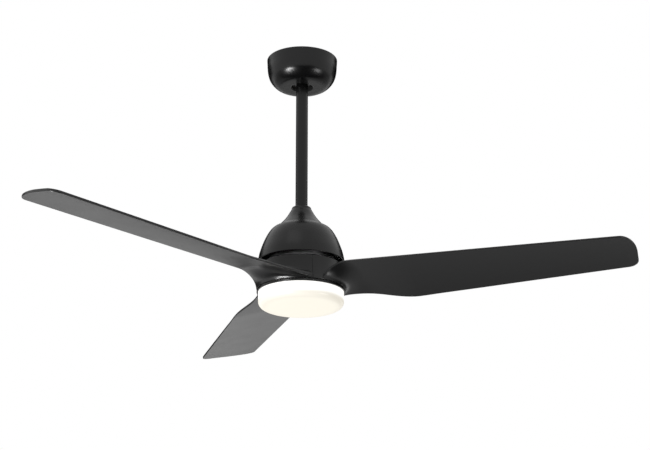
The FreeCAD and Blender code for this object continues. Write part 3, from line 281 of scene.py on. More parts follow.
def build_piece(name: str, surface: Surface, crease: float = 38.0) -> Object:
    """Puts a surface into a mesh object at the origin, smooth except where it folds sharply.

    Args:
        name: Name of the piece.
        surface: Its points and faces.
        crease: Angle between faces, in degrees, past which an edge stays sharp.

    Returns:
        The new object.
    """
    blocks = [block.astype(np.int32) for block in surface.faces]
    used, packed = np.unique(np.concatenate([block.ravel() for block in blocks]), return_inverse=True)
    points = surface.points[used] * MM
    totals = np.concatenate([np.full(len(block), block.shape[1], np.int32) for block in blocks])
    starts = np.concatenate([[0], np.cumsum(totals)[:-1]]).astype(np.int32)
    mesh = bpy.data.meshes.new(name)
    mesh.vertices.add(len(points))
    mesh.vertices.foreach_set("co", points.astype(np.float32).ravel())
    mesh.loops.add(len(packed))
    mesh.loops.foreach_set("vertex_index", packed.ravel().astype(np.int32))
    mesh.polygons.add(len(totals))
    mesh.polygons.foreach_set("loop_start", starts)
    mesh.update(calc_edges=True)
    if mesh.validate():
        LOG.warning("%s had faces that were mended", name)
    mesh.shade_smooth()
    mesh.set_sharp_from_angle(angle=math.radians(crease))
    piece = bpy.data.objects.new(name, mesh)
    bpy.context.scene.collection.objects.link(piece)
    LOG.info("%s: %d points, %d faces", name, len(mesh.vertices), len(mesh.polygons))
    return piece


def flat_piece(name: str, low: Place, high: Place, material: Material, azimuth: float = 0.0) -> Object:
    """Builds a piece of one four-sided face, level or upright along X.

    Args:
        name: Its name.
        low: Its corner of least x, y and z, in metres.
        high: The corner opposite.
        material: Its material.
        azimuth: Turn about the Z axis, in degrees.

    Returns:
        The new object.
    """
    corners = np.array([low, (high[0], *low[1:]), high, (low[0], *high[1:])]) / MM
    piece = build_piece(name, Surface(corners, [np.array([[0, 1, 2, 3]])]).turned(azimuth))
    piece.data.materials.append(material)
    return piece


# --- Finishes -----------------------------------------------------------------------


class Marks(Enum):
    """What the making of a surface has left on it."""

    MOULDED = "moulded"
    TURNED = "turned"
    LAYERED = "layered"
    WOUND = "wound"


def set_inputs(node: Node, values: dict) -> Node:
    """Sets a node's inputs.

    Args:
        node: The node.
        values: A socket to link, or a value, for each label or number.

    Returns:
        The same node.
    """
    for label, value in values.items():
        if isinstance(value, Socket):
            node.id_data.links.new(value, node.inputs[label])
        else:
            node.inputs[label].default_value = value
    return node


def add_node(tree: Tree, kind: str, values: dict | None = None, **settings: object) -> Node:
    """Adds a node.

    Args:
        tree: The tree that it goes into.
        kind: Its type.
        values: Its inputs, as set_inputs takes them.
        settings: Values of its properties.

    Returns:
        The node.
    """
    made = tree.nodes.new(kind)
    for label, value in settings.items():
        setattr(made, label, value)
    return set_inputs(made, values or {})


def math_of(tree: Tree, operation: str, *values: float | Socket, **settings: object) -> Socket:
    """Result of a maths node over numbers and sockets."""
    inputs = dict(enumerate(values))
    return add_node(tree, "ShaderNodeMath", inputs, operation=operation, **settings).outputs[0]


def colour_mix(tree: Tree, share: Socket, first: tuple | Socket, second: tuple | Socket) -> Socket:
    """Blends two colours.

    Args:
        tree: The tree that it goes into.
        share: Share of the second colour.
        first: Colour at share 0.
        second: Colour at share 1.

    Returns:
        The blend; a mixing node has sockets of other types too.
    """
    made = add_node(tree, "ShaderNodeMix", {"Factor": share}, data_type="RGBA")
    ends = [number for number, socket in enumerate(made.inputs) if socket.type == "RGBA"]
    set_inputs(made, dict(zip(ends, (first, second))))
    return next(socket for socket in made.outputs if socket.type == "RGBA")


def axis_distance(tree: Tree, vector: Socket) -> Socket:
    """Distance from the Z axis: the length of the vector times (1, 1, 0)."""
    flat = add_node(tree, "ShaderNodeVectorMath", {0: vector, 1: (1.0, 1.0, 0.0)}, operation="MULTIPLY")
    reach = add_node(tree, "ShaderNodeVectorMath", {0: flat.outputs["Vector"]}, operation="LENGTH")
    return reach.outputs["Value"]


def height_of(tree: Tree, vector: Socket) -> Socket:
    """The vector's Z."""
    return add_node(tree, "ShaderNodeSeparateXYZ", {0: vector}).outputs["Z"]


def new_material(name: str, values: dict) -> Material:
    """Makes a material.

    Args:
        name: Its name.
        values: Values of the inputs of its own shader.

    Returns:
        The material.
    """
    material = bpy.data.materials.new(name)
    material.use_nodes = True
    set_inputs(material.node_tree.nodes["Principled BSDF"], values)
    return material


class GroupMaker:
    """Builds a shader node group that several finishes share."""

    def __init__(self, name: str, inputs: dict[str, float | tuple]) -> None:
        """Starts a group with its named inputs.

        Args:
            name: Name of the group.
            inputs: Default value of each input besides Vector: a number, or a colour of four.
        """
        self.tree = bpy.data.node_groups.new(name, "ShaderNodeTree")
        sockets = self.tree.interface
        sockets.new_socket(name="Vector", in_out="INPUT", socket_type="NodeSocketVector")
        for label, value in inputs.items():
            kind = "NodeSocketColor" if isinstance(value, tuple) else "NodeSocketFloat"
            sockets.new_socket(name=label, in_out="INPUT", socket_type=kind).default_value = value
        self.given = add_node(self.tree, "NodeGroupInput").outputs

    def noise(self, scale: float, detail: float) -> Socket:
        """Noise over the group's vector, whose size is the group's Size input times scale."""
        return add_node(self.tree, "ShaderNodeTexNoise", {
            "Vector": self.given["Vector"], "Detail": detail,
            "Scale": math_of(self.tree, "MULTIPLY", self.given["Size"], scale)}).outputs["Fac"]

    def finished(self, **results: Socket) -> Tree:
        """Gives the group its outputs.

        Args:
            results: Result for each output by name.

        Returns:
            The group.
        """
        for label, result in results.items():
            kind = "NodeSocketColor" if result.type == "RGBA" else "NodeSocketFloat"
            self.tree.interface.new_socket(name=label, in_out="OUTPUT", socket_type=kind)
        add_node(self.tree, "NodeGroupOutput", results)
        return self.tree


def grain_group() -> Tree:
    """Fine grain of a sprayed or moulded surface: noise, plus half as much at a third of its size.

    Returns:
        The group.
    """
    maker = GroupMaker("fine_grain", {"Size": 400.0, "Depth": 1.0})
    coarse, fine = maker.noise(1.0, 2.0), maker.noise(3.1, 1.0)
    both = math_of(maker.tree, "MULTIPLY_ADD", fine, 0.5, coarse)
    return maker.finished(Height=math_of(maker.tree, "MULTIPLY", both, maker.given["Depth"]))


def drift_group() -> Tree:
    """Slow drift over a surface: soft noise mixes two tones and shifts the roughness.

    Returns:
        The group.
    """
    maker = GroupMaker("surface_drift", {
        "Size": 14.0, "Tone": (0.5, 0.5, 0.5, 1.0), "Shifted": (0.4, 0.4, 0.4, 1.0), "Roughness": 0.4,
        "Spread": 0.05})
    tree, given, cloud = maker.tree, maker.given, maker.noise(1.0, 3.0)
    centred = math_of(tree, "SUBTRACT", cloud, 0.5)
    return maker.finished(
        Tone=colour_mix(tree, cloud, given["Tone"], given["Shifted"]),
        Roughness=math_of(tree, "MULTIPLY_ADD", centred, given["Spread"], given["Roughness"]))


def marks_group() -> Tree:
    """Tool marks as ridges: sin(2 pi q / pitch), where q mixes height and distance from the axis.

    Returns:
        The group.
    """
    maker = GroupMaker("tool_marks", {"Pitch": 0.001, "Radial": 0.0})
    tree, given = maker.tree, maker.given
    place = add_node(tree, "ShaderNodeMix", {
        "Factor": given["Radial"], "A": height_of(tree, given["Vector"]),
        "B": axis_distance(tree, given["Vector"])}, data_type="FLOAT").outputs["Result"]
    turns = math_of(tree, "DIVIDE", place, given["Pitch"])
    return maker.finished(Height=math_of(tree, "SINE", math_of(tree, "MULTIPLY", turns, 2.0 * math.pi)))


@dataclass(frozen=True)
class Finish:
    """How one material looks, and what its making left on it."""

    slot: str
    tone: Colour
    shifted: Colour
    roughness: float
    spread: float = 0.06
    metallic: float = 0.0
    specular: float = 0.5
    coat: float = 0.0
    coat_roughness: float = 0.12
    grain: float = 400.0
    depth: float = 0.02
    drift: float = 14.0
    marks: Marks = Marks.MOULDED
    pitch: float = 0.001
    ridge: float = 0.00002

    def build(self, groups: dict[str, Tree]) -> Material:
        """Makes the material from the shared groups.

        Args:
            groups: The shared node groups by name.

        Returns:
            The finished material.
        """
        material = new_material(self.slot, {
            "Metallic": self.metallic, "Specular IOR Level": self.specular,
            "Coat Weight": self.coat, "Coat Roughness": self.coat_roughness})
        tree = material.node_tree
        where = add_node(tree, "ShaderNodeTexCoord").outputs["Object"]

        def place(name: str, **values: object) -> Sequence[Socket]:
            """Adds a shared group that reads the piece's own coordinates, and gives its outputs."""
            values["Vector"] = where
            return add_node(tree, "ShaderNodeGroup", values, node_tree=groups[name]).outputs

        def bump(height: Socket, distance: float, **below: Socket) -> Socket:
            """Normal of a bump of some height, over the normal below it."""
            values = {"Strength": 1.0, "Distance": distance, "Height": height, **below}
            return add_node(tree, "ShaderNodeBump", values).outputs["Normal"]

        drift = place("surface_drift", Size=self.drift, Tone=(*self.tone, 1.0),
                      Shifted=(*self.shifted, 1.0), Roughness=self.roughness, Spread=self.spread)
        grain = place("fine_grain", Size=self.grain, Depth=self.depth)
        below = {}
        if self.marks is not Marks.MOULDED:
            ridges = place("tool_marks", Pitch=self.pitch, Radial=float(self.marks is Marks.TURNED))
            below["Normal"] = bump(ridges["Height"], self.ridge)
        set_inputs(tree.nodes["Principled BSDF"], {
            "Base Color": drift["Tone"], "Roughness": drift["Roughness"],
            "Normal": bump(grain["Height"], MM, **below)})
        return material


@dataclass(frozen=True)
class OpalFinish(Finish):
    """Opal plastic whose glow is painted light: painted light makes the side wall white, the floor below is
    cream, and painted shade makes it duller towards the edge.

    The fades are in metres: the floor's over the distance from the axis, the wall's over the height.
    """

    # Emission colours, all painted light: side is the wall painted white as if lit from the front, under the
    # floor's cream, edge the painted shade at the floor's rim.
    side: Colour = (1.0, 0.99, 0.96)
    under: Colour = (0.715, 0.675, 0.573)
    edge: Colour = (0.65, 0.61, 0.525)
    glow: float = 1.0
    floor_fade: Point = (0.064, 0.085)
    wall_fade: Point = (-0.5355, -0.5455)

    def build(self, groups: dict[str, Tree]) -> Material:
        """As for any finish, and a glow of painted light: one ramp across the floor out to its painted shade
        at the edge, and one down the wall from its painted white to the floor's colour.

        Args:
            groups: The shared node groups by name.

        Returns:
            The finished material.
        """
        material = super().build(groups)
        tree = material.node_tree
        where = add_node(tree, "ShaderNodeTexCoord").outputs["Object"]

        def ramp(source: Socket, fade: Point) -> Socket:
            """Share that rises smoothly from 0 to 1 along the fade."""
            values = {"Value": source, "From Min": fade[0], "From Max": fade[1]}
            made = add_node(tree, "ShaderNodeMapRange", values, interpolation_type="SMOOTHSTEP")
            return made.outputs["Result"]

        # Painted light and shade: the floor's cream fades out to painted shade at its rim, and the wall above
        # is painted white as if lit from the front.
        outward = ramp(axis_distance(tree, where), self.floor_fade)
        down = ramp(height_of(tree, where), self.wall_fade)
        floor = colour_mix(tree, outward, (*self.under, 1.0), (*self.edge, 1.0))
        whole = colour_mix(tree, down, (*self.side, 1.0), floor)
        set_inputs(tree.nodes["Principled BSDF"], {"Emission Strength": self.glow, "Emission Color": whole})
        return material


FINISHES: tuple[Finish, ...] = (
    Finish("satin_black", (0.0024, 0.0024, 0.0025), (0.0036, 0.0036, 0.0037), 0.27, 0.05, specular=0.29,
           grain=900.0, depth=0.006),
    Finish("black_plastic", (0.0030, 0.0030, 0.0031), (0.0044, 0.0044, 0.0045), 0.30, 0.06, specular=0.31,
           grain=1300.0, depth=0.007),
    OpalFinish("opal_plastic", (0.15, 0.148, 0.14), (0.16, 0.158, 0.15), 0.36, 0.04, specular=0.35,
               grain=700.0, depth=0.004),
    Finish("zinc_steel", (0.58, 0.58, 0.56), (0.66, 0.65, 0.60), 0.34, 0.12, metallic=1.0, grain=500.0,
           depth=0.01, drift=60.0),
    Finish("bearing_steel", (0.66, 0.66, 0.67), (0.72, 0.72, 0.73), 0.16, 0.06, metallic=1.0,
           marks=Marks.TURNED, pitch=0.0004, ridge=0.000002, depth=0.002),
    Finish("cast_metal", (0.24, 0.24, 0.25), (0.32, 0.32, 0.33), 0.52, 0.12, metallic=0.9, grain=650.0,
           depth=0.06, drift=90.0),
    Finish("aluminium", (0.62, 0.62, 0.63), (0.70, 0.70, 0.71), 0.40, 0.10, metallic=1.0, grain=500.0,
           depth=0.03, marks=Marks.TURNED, pitch=0.0009, ridge=0.000006),
    Finish("ball_plastic", (0.055, 0.055, 0.056), (0.075, 0.075, 0.076), 0.46, 0.08, grain=900.0, depth=0.02),
    Finish("white_plastic", (0.76, 0.76, 0.73), (0.80, 0.80, 0.77), 0.42, 0.06, grain=1100.0, depth=0.012),
    Finish("board_green", (0.030, 0.16, 0.065), (0.045, 0.22, 0.095), 0.34, 0.10, grain=700.0, depth=0.02,
           drift=220.0, coat=0.3),
    Finish("lamination_steel", (0.26, 0.26, 0.27), (0.36, 0.35, 0.34), 0.42, 0.12, metallic=1.0,
           marks=Marks.LAYERED, pitch=0.0005, ridge=0.00006, drift=120.0),
    Finish("insulator_plastic", (0.70, 0.67, 0.57), (0.76, 0.73, 0.64), 0.46, 0.06, grain=900.0, depth=0.015),
    Finish("winding_copper", (0.55, 0.22, 0.075), (0.70, 0.32, 0.12), 0.28, 0.10, metallic=1.0,
           marks=Marks.WOUND, pitch=0.0008, ridge=0.00018, drift=160.0),
    Finish("ferrite", (0.060, 0.060, 0.062), (0.095, 0.093, 0.090), 0.62, 0.10, grain=800.0, depth=0.05,
           drift=120.0),
    Finish("led_yellow", (0.86, 0.70, 0.18), (0.92, 0.78, 0.28), 0.30, 0.06, grain=900.0, depth=0.01),
    Finish("cable_sheath", (0.66, 0.66, 0.63), (0.74, 0.74, 0.71), 0.50, 0.08, grain=900.0, depth=0.03),
)


class Palette:
    """The finished materials by slot."""

    def __init__(self, finishes: tuple[Finish, ...]) -> None:
        """Builds the shared groups once, then each finish."""
        groups = {tree.name: tree for tree in (grain_group(), drift_group(), marks_group())}
        self.materials = {finish.slot: finish.build(groups) for finish in finishes}

    def dress(self, piece: Object, slot: str) -> None:
        """Gives a piece one material in place of all that it has."""
        piece.data.materials.clear()
        piece.data.materials.append(self.materials[slot])

    def dress_frame(self, nodes: dict[str, Object], record: dict) -> None:
        """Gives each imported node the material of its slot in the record.

        Args:
            nodes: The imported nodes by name.
            record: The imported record, whose subparts name each node's slot.
        """
        for part in record["subparts"]:
            self.dress(nodes[part["node"]], part["material_slot"])


# --- Sub-assemblies -----------------------------------------------------------------


@dataclass
class Assembly:
    """A sub-assembly that builds its pieces, dresses them and sets them on the frame."""

    palette: Palette
    pieces: list[Object] = field(default_factory=list)

    def mount(self, name: str, surface: Surface, slot: str, body: str, node: str) -> None:
        """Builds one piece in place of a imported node.

        Args:
            name: Name of the piece.
            surface: Its shape.
            slot: Its material slot.
            body: The body that it rides on.
            node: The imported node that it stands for.
        """
        piece = build_piece(name, surface)
        self.palette.dress(piece, slot)
        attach(piece, body)
        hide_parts(node)
        self.pieces.append(piece)


@dataclass
class Canopy(Assembly):
    """Spun cup against the ceiling: a nearly straight wall, a round shoulder and a flat with a hole."""

    wall: float = 1.5
    height: float = 62.5
    hole: float = 23.0
    outside: tuple[Point, ...] = (
        (75.2, -0.75), (74.9, -7.5), (74.45, -14.3), (73.6, -26.6), (72.1, -34.8), (69.4, -43.0),
        (65.7, -49.2), (61.5, -54.3), (57.2, -58.2), (51.5, -61.2), (45.5, -62.3), (40.0, -62.5),
        (34.0, -62.5))

    def section(self) -> Array:
        """The cup's section: a spline down its outside, a straight run to the hole, and the same inside.

        Returns:
            The closed section.
        """
        bowl = smooth_line(self.outside, 80)
        lip = self.hole + self.wall / 2.0
        run = np.linspace((bowl[-1, 0], bowl[-1, 1]), (lip, -self.height), 8)[1:]
        return sheet_loop(np.concatenate([bowl, run]), self.wall)

    def build(self) -> None:
        """Builds the cup."""
        self.mount("canopy_cup", turned_ring(self.section()), "satin_black", "ceiling_side", "canopy")


@dataclass
class DropTube(Assembly):
    """Steel tube from the ball down to the coupling, its ends rounded by half its wall."""

    radius: float = 12.7
    wall: float = 1.5
    top: float = -27.0
    bottom: float = -364.0

    def build(self) -> None:
        """Builds the tube: a straight line down the outside, made a sheet and turned."""
        half = self.wall / 2.0
        line = np.linspace((self.radius, self.top - half), (self.radius, self.bottom + half), 24)
        tube = turned_ring(sheet_loop(line, self.wall), 96)
        self.mount("drop_tube", tube, "satin_black", "drop_assembly", "downrod")


@dataclass
class MotorCover(Assembly):
    """Flared neck on the rod, and the dome over the motor that it stands on."""

    neck_wall: float = 1.6
    neck_top: tuple[Point, Point] = ((13.8, -335.9), (16.5, -335.9))
    shoulder: Point = (16.9, -339.3)
    shoulder_round: float = 3.4
    neck: tuple[Point, ...] = (
        (21.4, -342.2), (23.3, -345.6), (26.4, -351.1), (31.6, -359.4), (38.0, -367.6), (43.4, -373.6),
        (47.4, -377.9), (50.2, -380.4))
    dome_wall: float = 2.0
    crown: tuple[Point, Point] = ((12.0, -380.8), (46.0, -380.8))
    dome: tuple[Point, ...] = (
        (47.0, -380.8), (51.6, -381.2), (55.6, -382.6), (60.8, -386.0), (66.2, -392.1), (71.3, -400.3),
        (76.4, -410.5), (81.3, -422.8), (85.5, -435.1), (88.4, -447.4), (89.85, -456.3))

    def neck_section(self) -> Array:
        """The neck's section: a flat top, a quarter-round shoulder, then a spline that flares to the dome.

        Returns:
            The closed section.
        """
        turn = np.linspace(math.pi / 2.0, math.radians(12.0), 10)[:, None]
        corner = np.array([self.shoulder]) + self.shoulder_round * np.hstack([np.cos(turn), np.sin(turn)])
        flare = smooth_line([tuple(corner[-1]), *self.neck], 56)
        flat = np.linspace(*self.neck_top, 5)
        return sheet_loop(np.concatenate([flat, corner, flare[1:]]), self.neck_wall)

    def dome_section(self) -> Array:
        """The dome's section: a flat crown under the neck, then a spline down to the rim."""
        crown = np.linspace(*self.crown, 10)[:-1]
        return sheet_loop(np.concatenate([crown, smooth_line(self.dome, 84)]), self.dome_wall)

    def build(self) -> None:
        """Builds the neck and the dome."""
        neck, dome = turned_ring(self.neck_section()), turned_ring(self.dome_section())
        self.mount("flared_neck", neck, "satin_black", "drop_assembly", "neck_cover")
        self.mount("motor_dome", dome, "satin_black", "drop_assembly", "motor_housing")


@dataclass(frozen=True)
class HubShape:
    """Outside of the hub: a cone whose flare grows towards its lower rim."""

    top: float = -463.3
    bottom: float = -516.3
    top_radius: float = 83.0
    flare: float = 9.0
    power: float = 2.26
    wall: float = 3.0

    def radius(self, z: Array) -> Array:
        """Radius at a height: top radius + flare * (1 - share)^power, where share runs up from 0 to 1."""
        share = np.clip((np.asarray(z, float) - self.bottom) / (self.top - self.bottom), 0.0, 1.0)
        return self.top_radius + self.flare * (1.0 - share) ** self.power

    @property
    def rim_radius(self) -> float:
        """Radius of the lower rim."""
        return self.top_radius + self.flare


@dataclass
class Blades(Assembly):
    """Three moulded blades, each with its third of the hub and its mounting plate."""

    count: int = 3
    hub: HubShape = HubShape()
    seam_gap: float = 0.3
    seam_round: float = 0.55
    plate: tuple[Point, ...] = ((81.5, -475.3), (81.5, -479.3), (48.0, -479.3), (48.0, -475.3))
    plate_round: float = 0.6
    plate_end_gap: float = 0.25
    plate_end_round: float = 0.5
    # The planform: the leading edge's line, the trailing edge's points, and the root's turns in degrees.
    leading_line: float = -64.0
    tip_leading: float = 684.0
    tip_trailing: float = 683.6
    leading_round: Point = (32.0, 75.0)
    trailing_round: float = 20.0
    root_radius: float = 90.3
    root_inset: float = 1.5
    root_leading: float = -45.1
    root_trailing: float = 57.6
    trailing_edge: tuple[Point, ...] = (
        (44.0, 80.2), (55.0, 77.4), (72.0, 72.8), (88.0, 71.0), (106.0, 70.5), (124.0, 70.6),
        (142.0, 72.8), (158.0, 76.4), (174.0, 80.9), (190.0, 84.7), (206.0, 87.2), (225.0, 88.0),
        (262.0, 85.75), (330.0, 81.6), (420.0, 76.1), (520.0, 70.0), (600.0, 65.1), (700.0, 59.0))
    # The heights: each edge's own at its start, and its slope along the blade.
    leading_start: float = 140.0
    leading_height: float = -480.2
    leading_rise: float = 6.8 / 546.0
    trailing_height: float = -513.4
    trailing_sink: float = 0.039
    trailing_rise: float = 0.0486
    crest: float = 225.0
    crest_ease: float = 16.0
    crest_offset: float = 88.0
    taper: float = 0.061
    bow_start: float = -70.0
    bow_width: float = 166.0
    bow_height: float = 3.5
    # The wall and its rounds.
    front_half: float = 1.5
    back_half: float = 2.3
    middle_half: float = 0.9
    wall_width: float = 160.0
    edge_round: float = 0.6
    root_curl: float = 42.0
    curl_shift: float = 3.4
    curl_wall: float = 3.2
    curl_reach: Point = (6.0, 44.0)
    fillet: float = 7.5
    fillet_reach: Point = (0.8, 4.8)

    def trailing_line(self, r: Array) -> Array:
        """Sideways place of the trailing edge at distance r: a spline through its points."""
        line = smooth_line(self.trailing_edge, 900)
        return np.interp(r, line[:, 0], line[:, 1])

    def past_crest(self, r: Array) -> Array:
        """Distance past the crest, eased through it: (x + sqrt(x^2 + w^2)) / 2."""
        x = np.asarray(r, float) - self.crest
        return (x + np.sqrt(x * x + self.crest_ease**2)) / 2.0

    def middle_height(self, r: Array, c: Array) -> Array:
        """Height of the blade's middle surface.

        Straight across from the leading edge's height, which is straight in r, to the trailing
        edge's, which sinks a little to the crest and then rises, plus the bow.

        Args:
            r: Distances along the blade.
            c: Distances across it, from the leading side to the trailing side.

        Returns:
            The heights.
        """
        leading = self.leading_height + self.leading_rise * (r - self.leading_start)
        past = self.past_crest(r)
        before = np.minimum(r, self.crest) - self.hub.rim_radius
        trailing = self.trailing_height - self.trailing_sink * before + self.trailing_rise * past
        far = self.crest_offset - self.taper * past
        slope = (trailing - leading) / (far - self.leading_line)
        return leading + slope * (c - self.leading_line) + self.bow_height * self.bow(c)

    def bow(self, c: Array) -> Array:
        """Bow across the blade: 1 - (2 s - 1)^2, where s runs from 0 to 1 across the widest chord."""
        share = np.clip((c - self.bow_start) / self.bow_width, 0.0, 1.0)
        return 1.0 - (2.0 * share - 1.0) ** 2

    def half_thickness(self, c: Array) -> Array:
        """Half of the wall: it grows evenly from front to back, and by a bow at mid chord."""
        share = np.clip((c - self.leading_line) / self.wall_width, 0.0, 1.0)
        return self.front_half + (self.back_half - self.front_half) * share + self.middle_half * self.bow(c)

    @staticmethod
    def quarter(x: Array) -> Array:
        """Quarter round that falls from 1 at x = 0 to 0 at x = 1: 1 - sqrt(1 - (1 - x)^2)."""
        left = 1.0 - np.clip(x, 0.0, 1.0)
        return 1.0 - np.sqrt(1.0 - left * left)

    @staticmethod
    def ease(x: Array, reach: Point) -> Array:
        """Smooth step from 0 at the reach's start to 1 at its end: 3 s^2 - 2 s^3, where s is the share."""
        s = np.clip((x - reach[0]) / (reach[1] - reach[0]), 0.0, 1.0)
        return s * s * (3.0 - 2.0 * s)

    @staticmethod
    def rows() -> Array:
        """Shares along the blade: fine at the root's curl and at the tip, even along the span.

        Returns:
            The shares, from 0 to 1.
        """
        root_end, curl_end, span_end = 0.005, 65.0 / 600.0, 0.92
        root = np.linspace(0.0, root_end, 8)
        curl = root_end + (curl_end - root_end) * np.linspace(0.0, 1.0, 35)[1:] ** 1.5
        span = np.linspace(curl_end, span_end, 56)[1:]
        tip = 1.0 - (1.0 - span_end) * (1.0 - np.linspace(0.0, 1.0, 29)[1:]) ** 2
        return np.concatenate([root, curl, span, tip])

    @staticmethod
    def columns() -> Array:
        """Shares across the blade: fine in the rounding of both edges, wider in the middle.

        Returns:
            The shares, from 0 to 1.
        """
        rim = 0.0085
        edge = rim * np.linspace(0.0, 1.0, 7) ** 2
        inner = rim + (0.5 - rim) * np.linspace(0.0, 1.0, 28)[1:] ** 1.6
        half = np.concatenate([edge, inner])
        return np.concatenate([half, 1.0 - half[-2::-1]])

    def outline(self, f: Array) -> tuple[Array, Array]:
        """Leading and trailing edges of the planform at shares f of their length along the blade.

        The leading edge is straight and ends in a quarter ellipse; the trailing edge is its
        spline and ends in a quarter circle.  At x past a round's start its side moves in by
        b - b sqrt(1 - (x / a)^2), where a lies along the blade and b across it.

        Args:
            f: Shares from the root, 0, to the tip, 1.

        Returns:
            The points of both edges.
        """
        root_l = self.root_radius * math.cos(math.radians(self.root_leading))
        root_t = self.root_radius * math.cos(math.radians(self.root_trailing))
        lead_r = root_l + f * (self.tip_leading - root_l)
        trail_r = root_t + f * (self.tip_trailing - root_t)
        a, b = self.leading_round
        x = np.clip(lead_r - (self.tip_leading - a), 0.0, a)
        lead_c = self.leading_line + b - b * np.sqrt(1.0 - (x / a) ** 2)
        x = np.clip(trail_r - (self.tip_trailing - self.trailing_round), 0.0, self.trailing_round)
        trail_c = self.trailing_line(trail_r) - self.trailing_round
        trail_c += np.sqrt(self.trailing_round**2 - x * x)
        return np.stack([lead_r, lead_c], axis=-1), np.stack([trail_r, trail_c], axis=-1)

    def patch(self, root: Array, lead: Array, trail: Array) -> Array:
        """Points of the planform between four edges.

        A Coons patch: the blend of leading and trailing edge, plus the blend of root and tip,
        less the blend of the four corners.

        Args:
            root: Root curve, one point to a column.
            lead: Leading edge, one point to a row.
            trail: Trailing edge, one point to a row.

        Returns:
            Grid of points, rows by columns by 2.
        """
        f, s = self.rows()[:, None, None], self.columns()[None, :, None]

        def mixed(share: Array, first: Array, last: Array) -> Array:
            """Blend of two sets of points by a share."""
            return (1.0 - share) * first + share * last

        tip = mixed(s[0], lead[-1], trail[-1])
        corners = mixed(f, mixed(s, root[0], root[-1]), mixed(s, tip[0], tip[-1]))
        return mixed(s, lead[:, None], trail[:, None]) + mixed(f, root[None], tip[None]) - corners

    def heights(self, grid: Array, lead: Array, trail: Array) -> tuple[Array, Array]:
        """Heights of the lower and upper skin over a grid of planform points.

        The lower skin curls down to the hub's lower rim in a quarter round.  The upper skin
        does the same beside the leading edge, and further in it stays up and meets the hub's
        wall in a fillet.  Both close on each other at the outline in a small round.

        Args:
            grid: Planform points, rows by columns by 2.
            lead: Leading edge, one point to a row.
            trail: Trailing edge, one point to a row.

        Returns:
            Lower and upper heights.
        """
        r, c = grid[..., 0], grid[..., 1]

        def away(origin: Array, along: Array) -> Array:
            """Distance of each grid point from a straight line."""
            gap = grid - origin
            return np.abs(gap[..., 0] * along[..., 1] - gap[..., 1] * along[..., 0])

        tip = (trail[-1] - lead[-1]) / np.linalg.norm(trail[-1] - lead[-1])
        from_lead = away(lead[:, None], unit_tangents(lead)[:, None])
        from_trail = away(trail[:, None], unit_tangents(trail)[:, None])
        edge = np.minimum(np.minimum(from_lead, from_trail), away(lead[-1], tip))
        middle, half = self.middle_height(r, c), self.half_thickness(c)
        out = np.hypot(r, c)
        past_rim = out - self.hub.rim_radius
        low, high = middle - half, middle + half
        low -= (low - self.hub.bottom) * self.quarter(past_rim / self.root_curl)
        curl = self.quarter((past_rim + self.curl_shift) / self.root_curl)
        stay = self.ease(from_lead, self.curl_reach)
        high -= (high - (self.hub.bottom + self.curl_wall)) * curl * (1.0 - stay)
        wall = self.hub.radius(high + self.fillet)
        fillet = self.quarter((out - wall) / self.fillet) * self.ease(edge, self.fillet_reach)
        high += self.fillet * fillet
        centre = (low + high) / 2.0
        close = 1.0 - self.quarter(edge / self.edge_round)
        return centre + (low - centre) * close, centre + (high - centre) * close

    def wing(self) -> Surface:
        """The blade proper: two skins that share their outline, closed by a band inside the hub.

        Each skin's root follows the hub's wall at its own height, so the patch is laid twice:
        first to find the root's heights, then with the root moved in to the wall there.

        Returns:
            The closed surface.
        """
        f, s = self.rows(), self.columns()
        lead, trail = self.outline(f)
        turn = np.radians(self.root_leading + s * (self.root_trailing - self.root_leading))
        spoke = np.stack([np.cos(turn), np.sin(turn)], axis=-1)
        lead[0], trail[0] = self.root_radius * spoke[0], self.root_radius * spoke[-1]
        first = self.patch(self.root_radius * spoke, lead, trail)
        skins = []
        for pick, root_height in enumerate(z[0] for z in self.heights(first, lead, trail)):
            inset = self.hub.radius(root_height) - self.root_inset
            inset[0] = inset[-1] = self.root_radius
            grid = self.patch(inset[:, None] * spoke, lead, trail)
            height = self.heights(grid, lead, trail)[pick]
            skins.append(np.concatenate([grid, height[..., None]], axis=-1))
        lower, upper = skins
        upper[:, 0], upper[:, -1], upper[-1] = lower[:, 0], lower[:, -1], lower[-1]
        under = np.arange(len(f) * len(s)).reshape(len(f), len(s))
        over = under + under.size
        over[:, 0], over[:, -1], over[-1] = under[:, 0], under[:, -1], under[-1]
        band = cells(np.stack([under[0, 1:-1], over[0, 1:-1]], axis=1))
        ends = np.array([[under[0, 0], over[0, 1], under[0, 1]], [under[0, -2], over[0, -2], under[0, -1]]])
        return Surface(np.concatenate([lower.reshape(-1, 3), upper.reshape(-1, 3)]),
                       [cells(under), cells(over)[:, [0, 3, 2, 1]], band, ends])

    def hub_third(self) -> Surface:
        """A third of the hub's wall: the hub's outside down from its rim, made a sheet, between two seams.

        Returns:
            The closed surface.
        """
        half = self.hub.wall / 2.0
        z = np.linspace(self.hub.top - half, self.hub.bottom + half, 40)
        loop = sheet_loop(np.stack([self.hub.radius(z), z], axis=1), self.hub.wall)
        gap = math.degrees(self.seam_gap / 2.0 / self.hub.top_radius)
        return turned_sector(loop, 180.0 / self.count - gap, self.seam_round)

    def mounting_plate(self) -> Surface:
        """Plate inside the hub that is screwed to the motor: a flat bar with rounded edges, turned."""
        loop = rounded_loop(self.plate, [self.plate_round] * len(self.plate))
        return turned_sector(loop, 180.0 / self.count - self.plate_end_gap, self.plate_end_round)

    def build(self) -> None:
        """Builds the three blades, each turned to its place."""
        first = self.wing().with_others(self.hub_third(), self.mounting_plate())
        for number in range(self.count):
            turned = first.turned(360.0 * number / self.count)
            self.mount(f"moulded_blade_{number + 1}", turned, "black_plastic", "rotor", f"blade_{number + 1}")


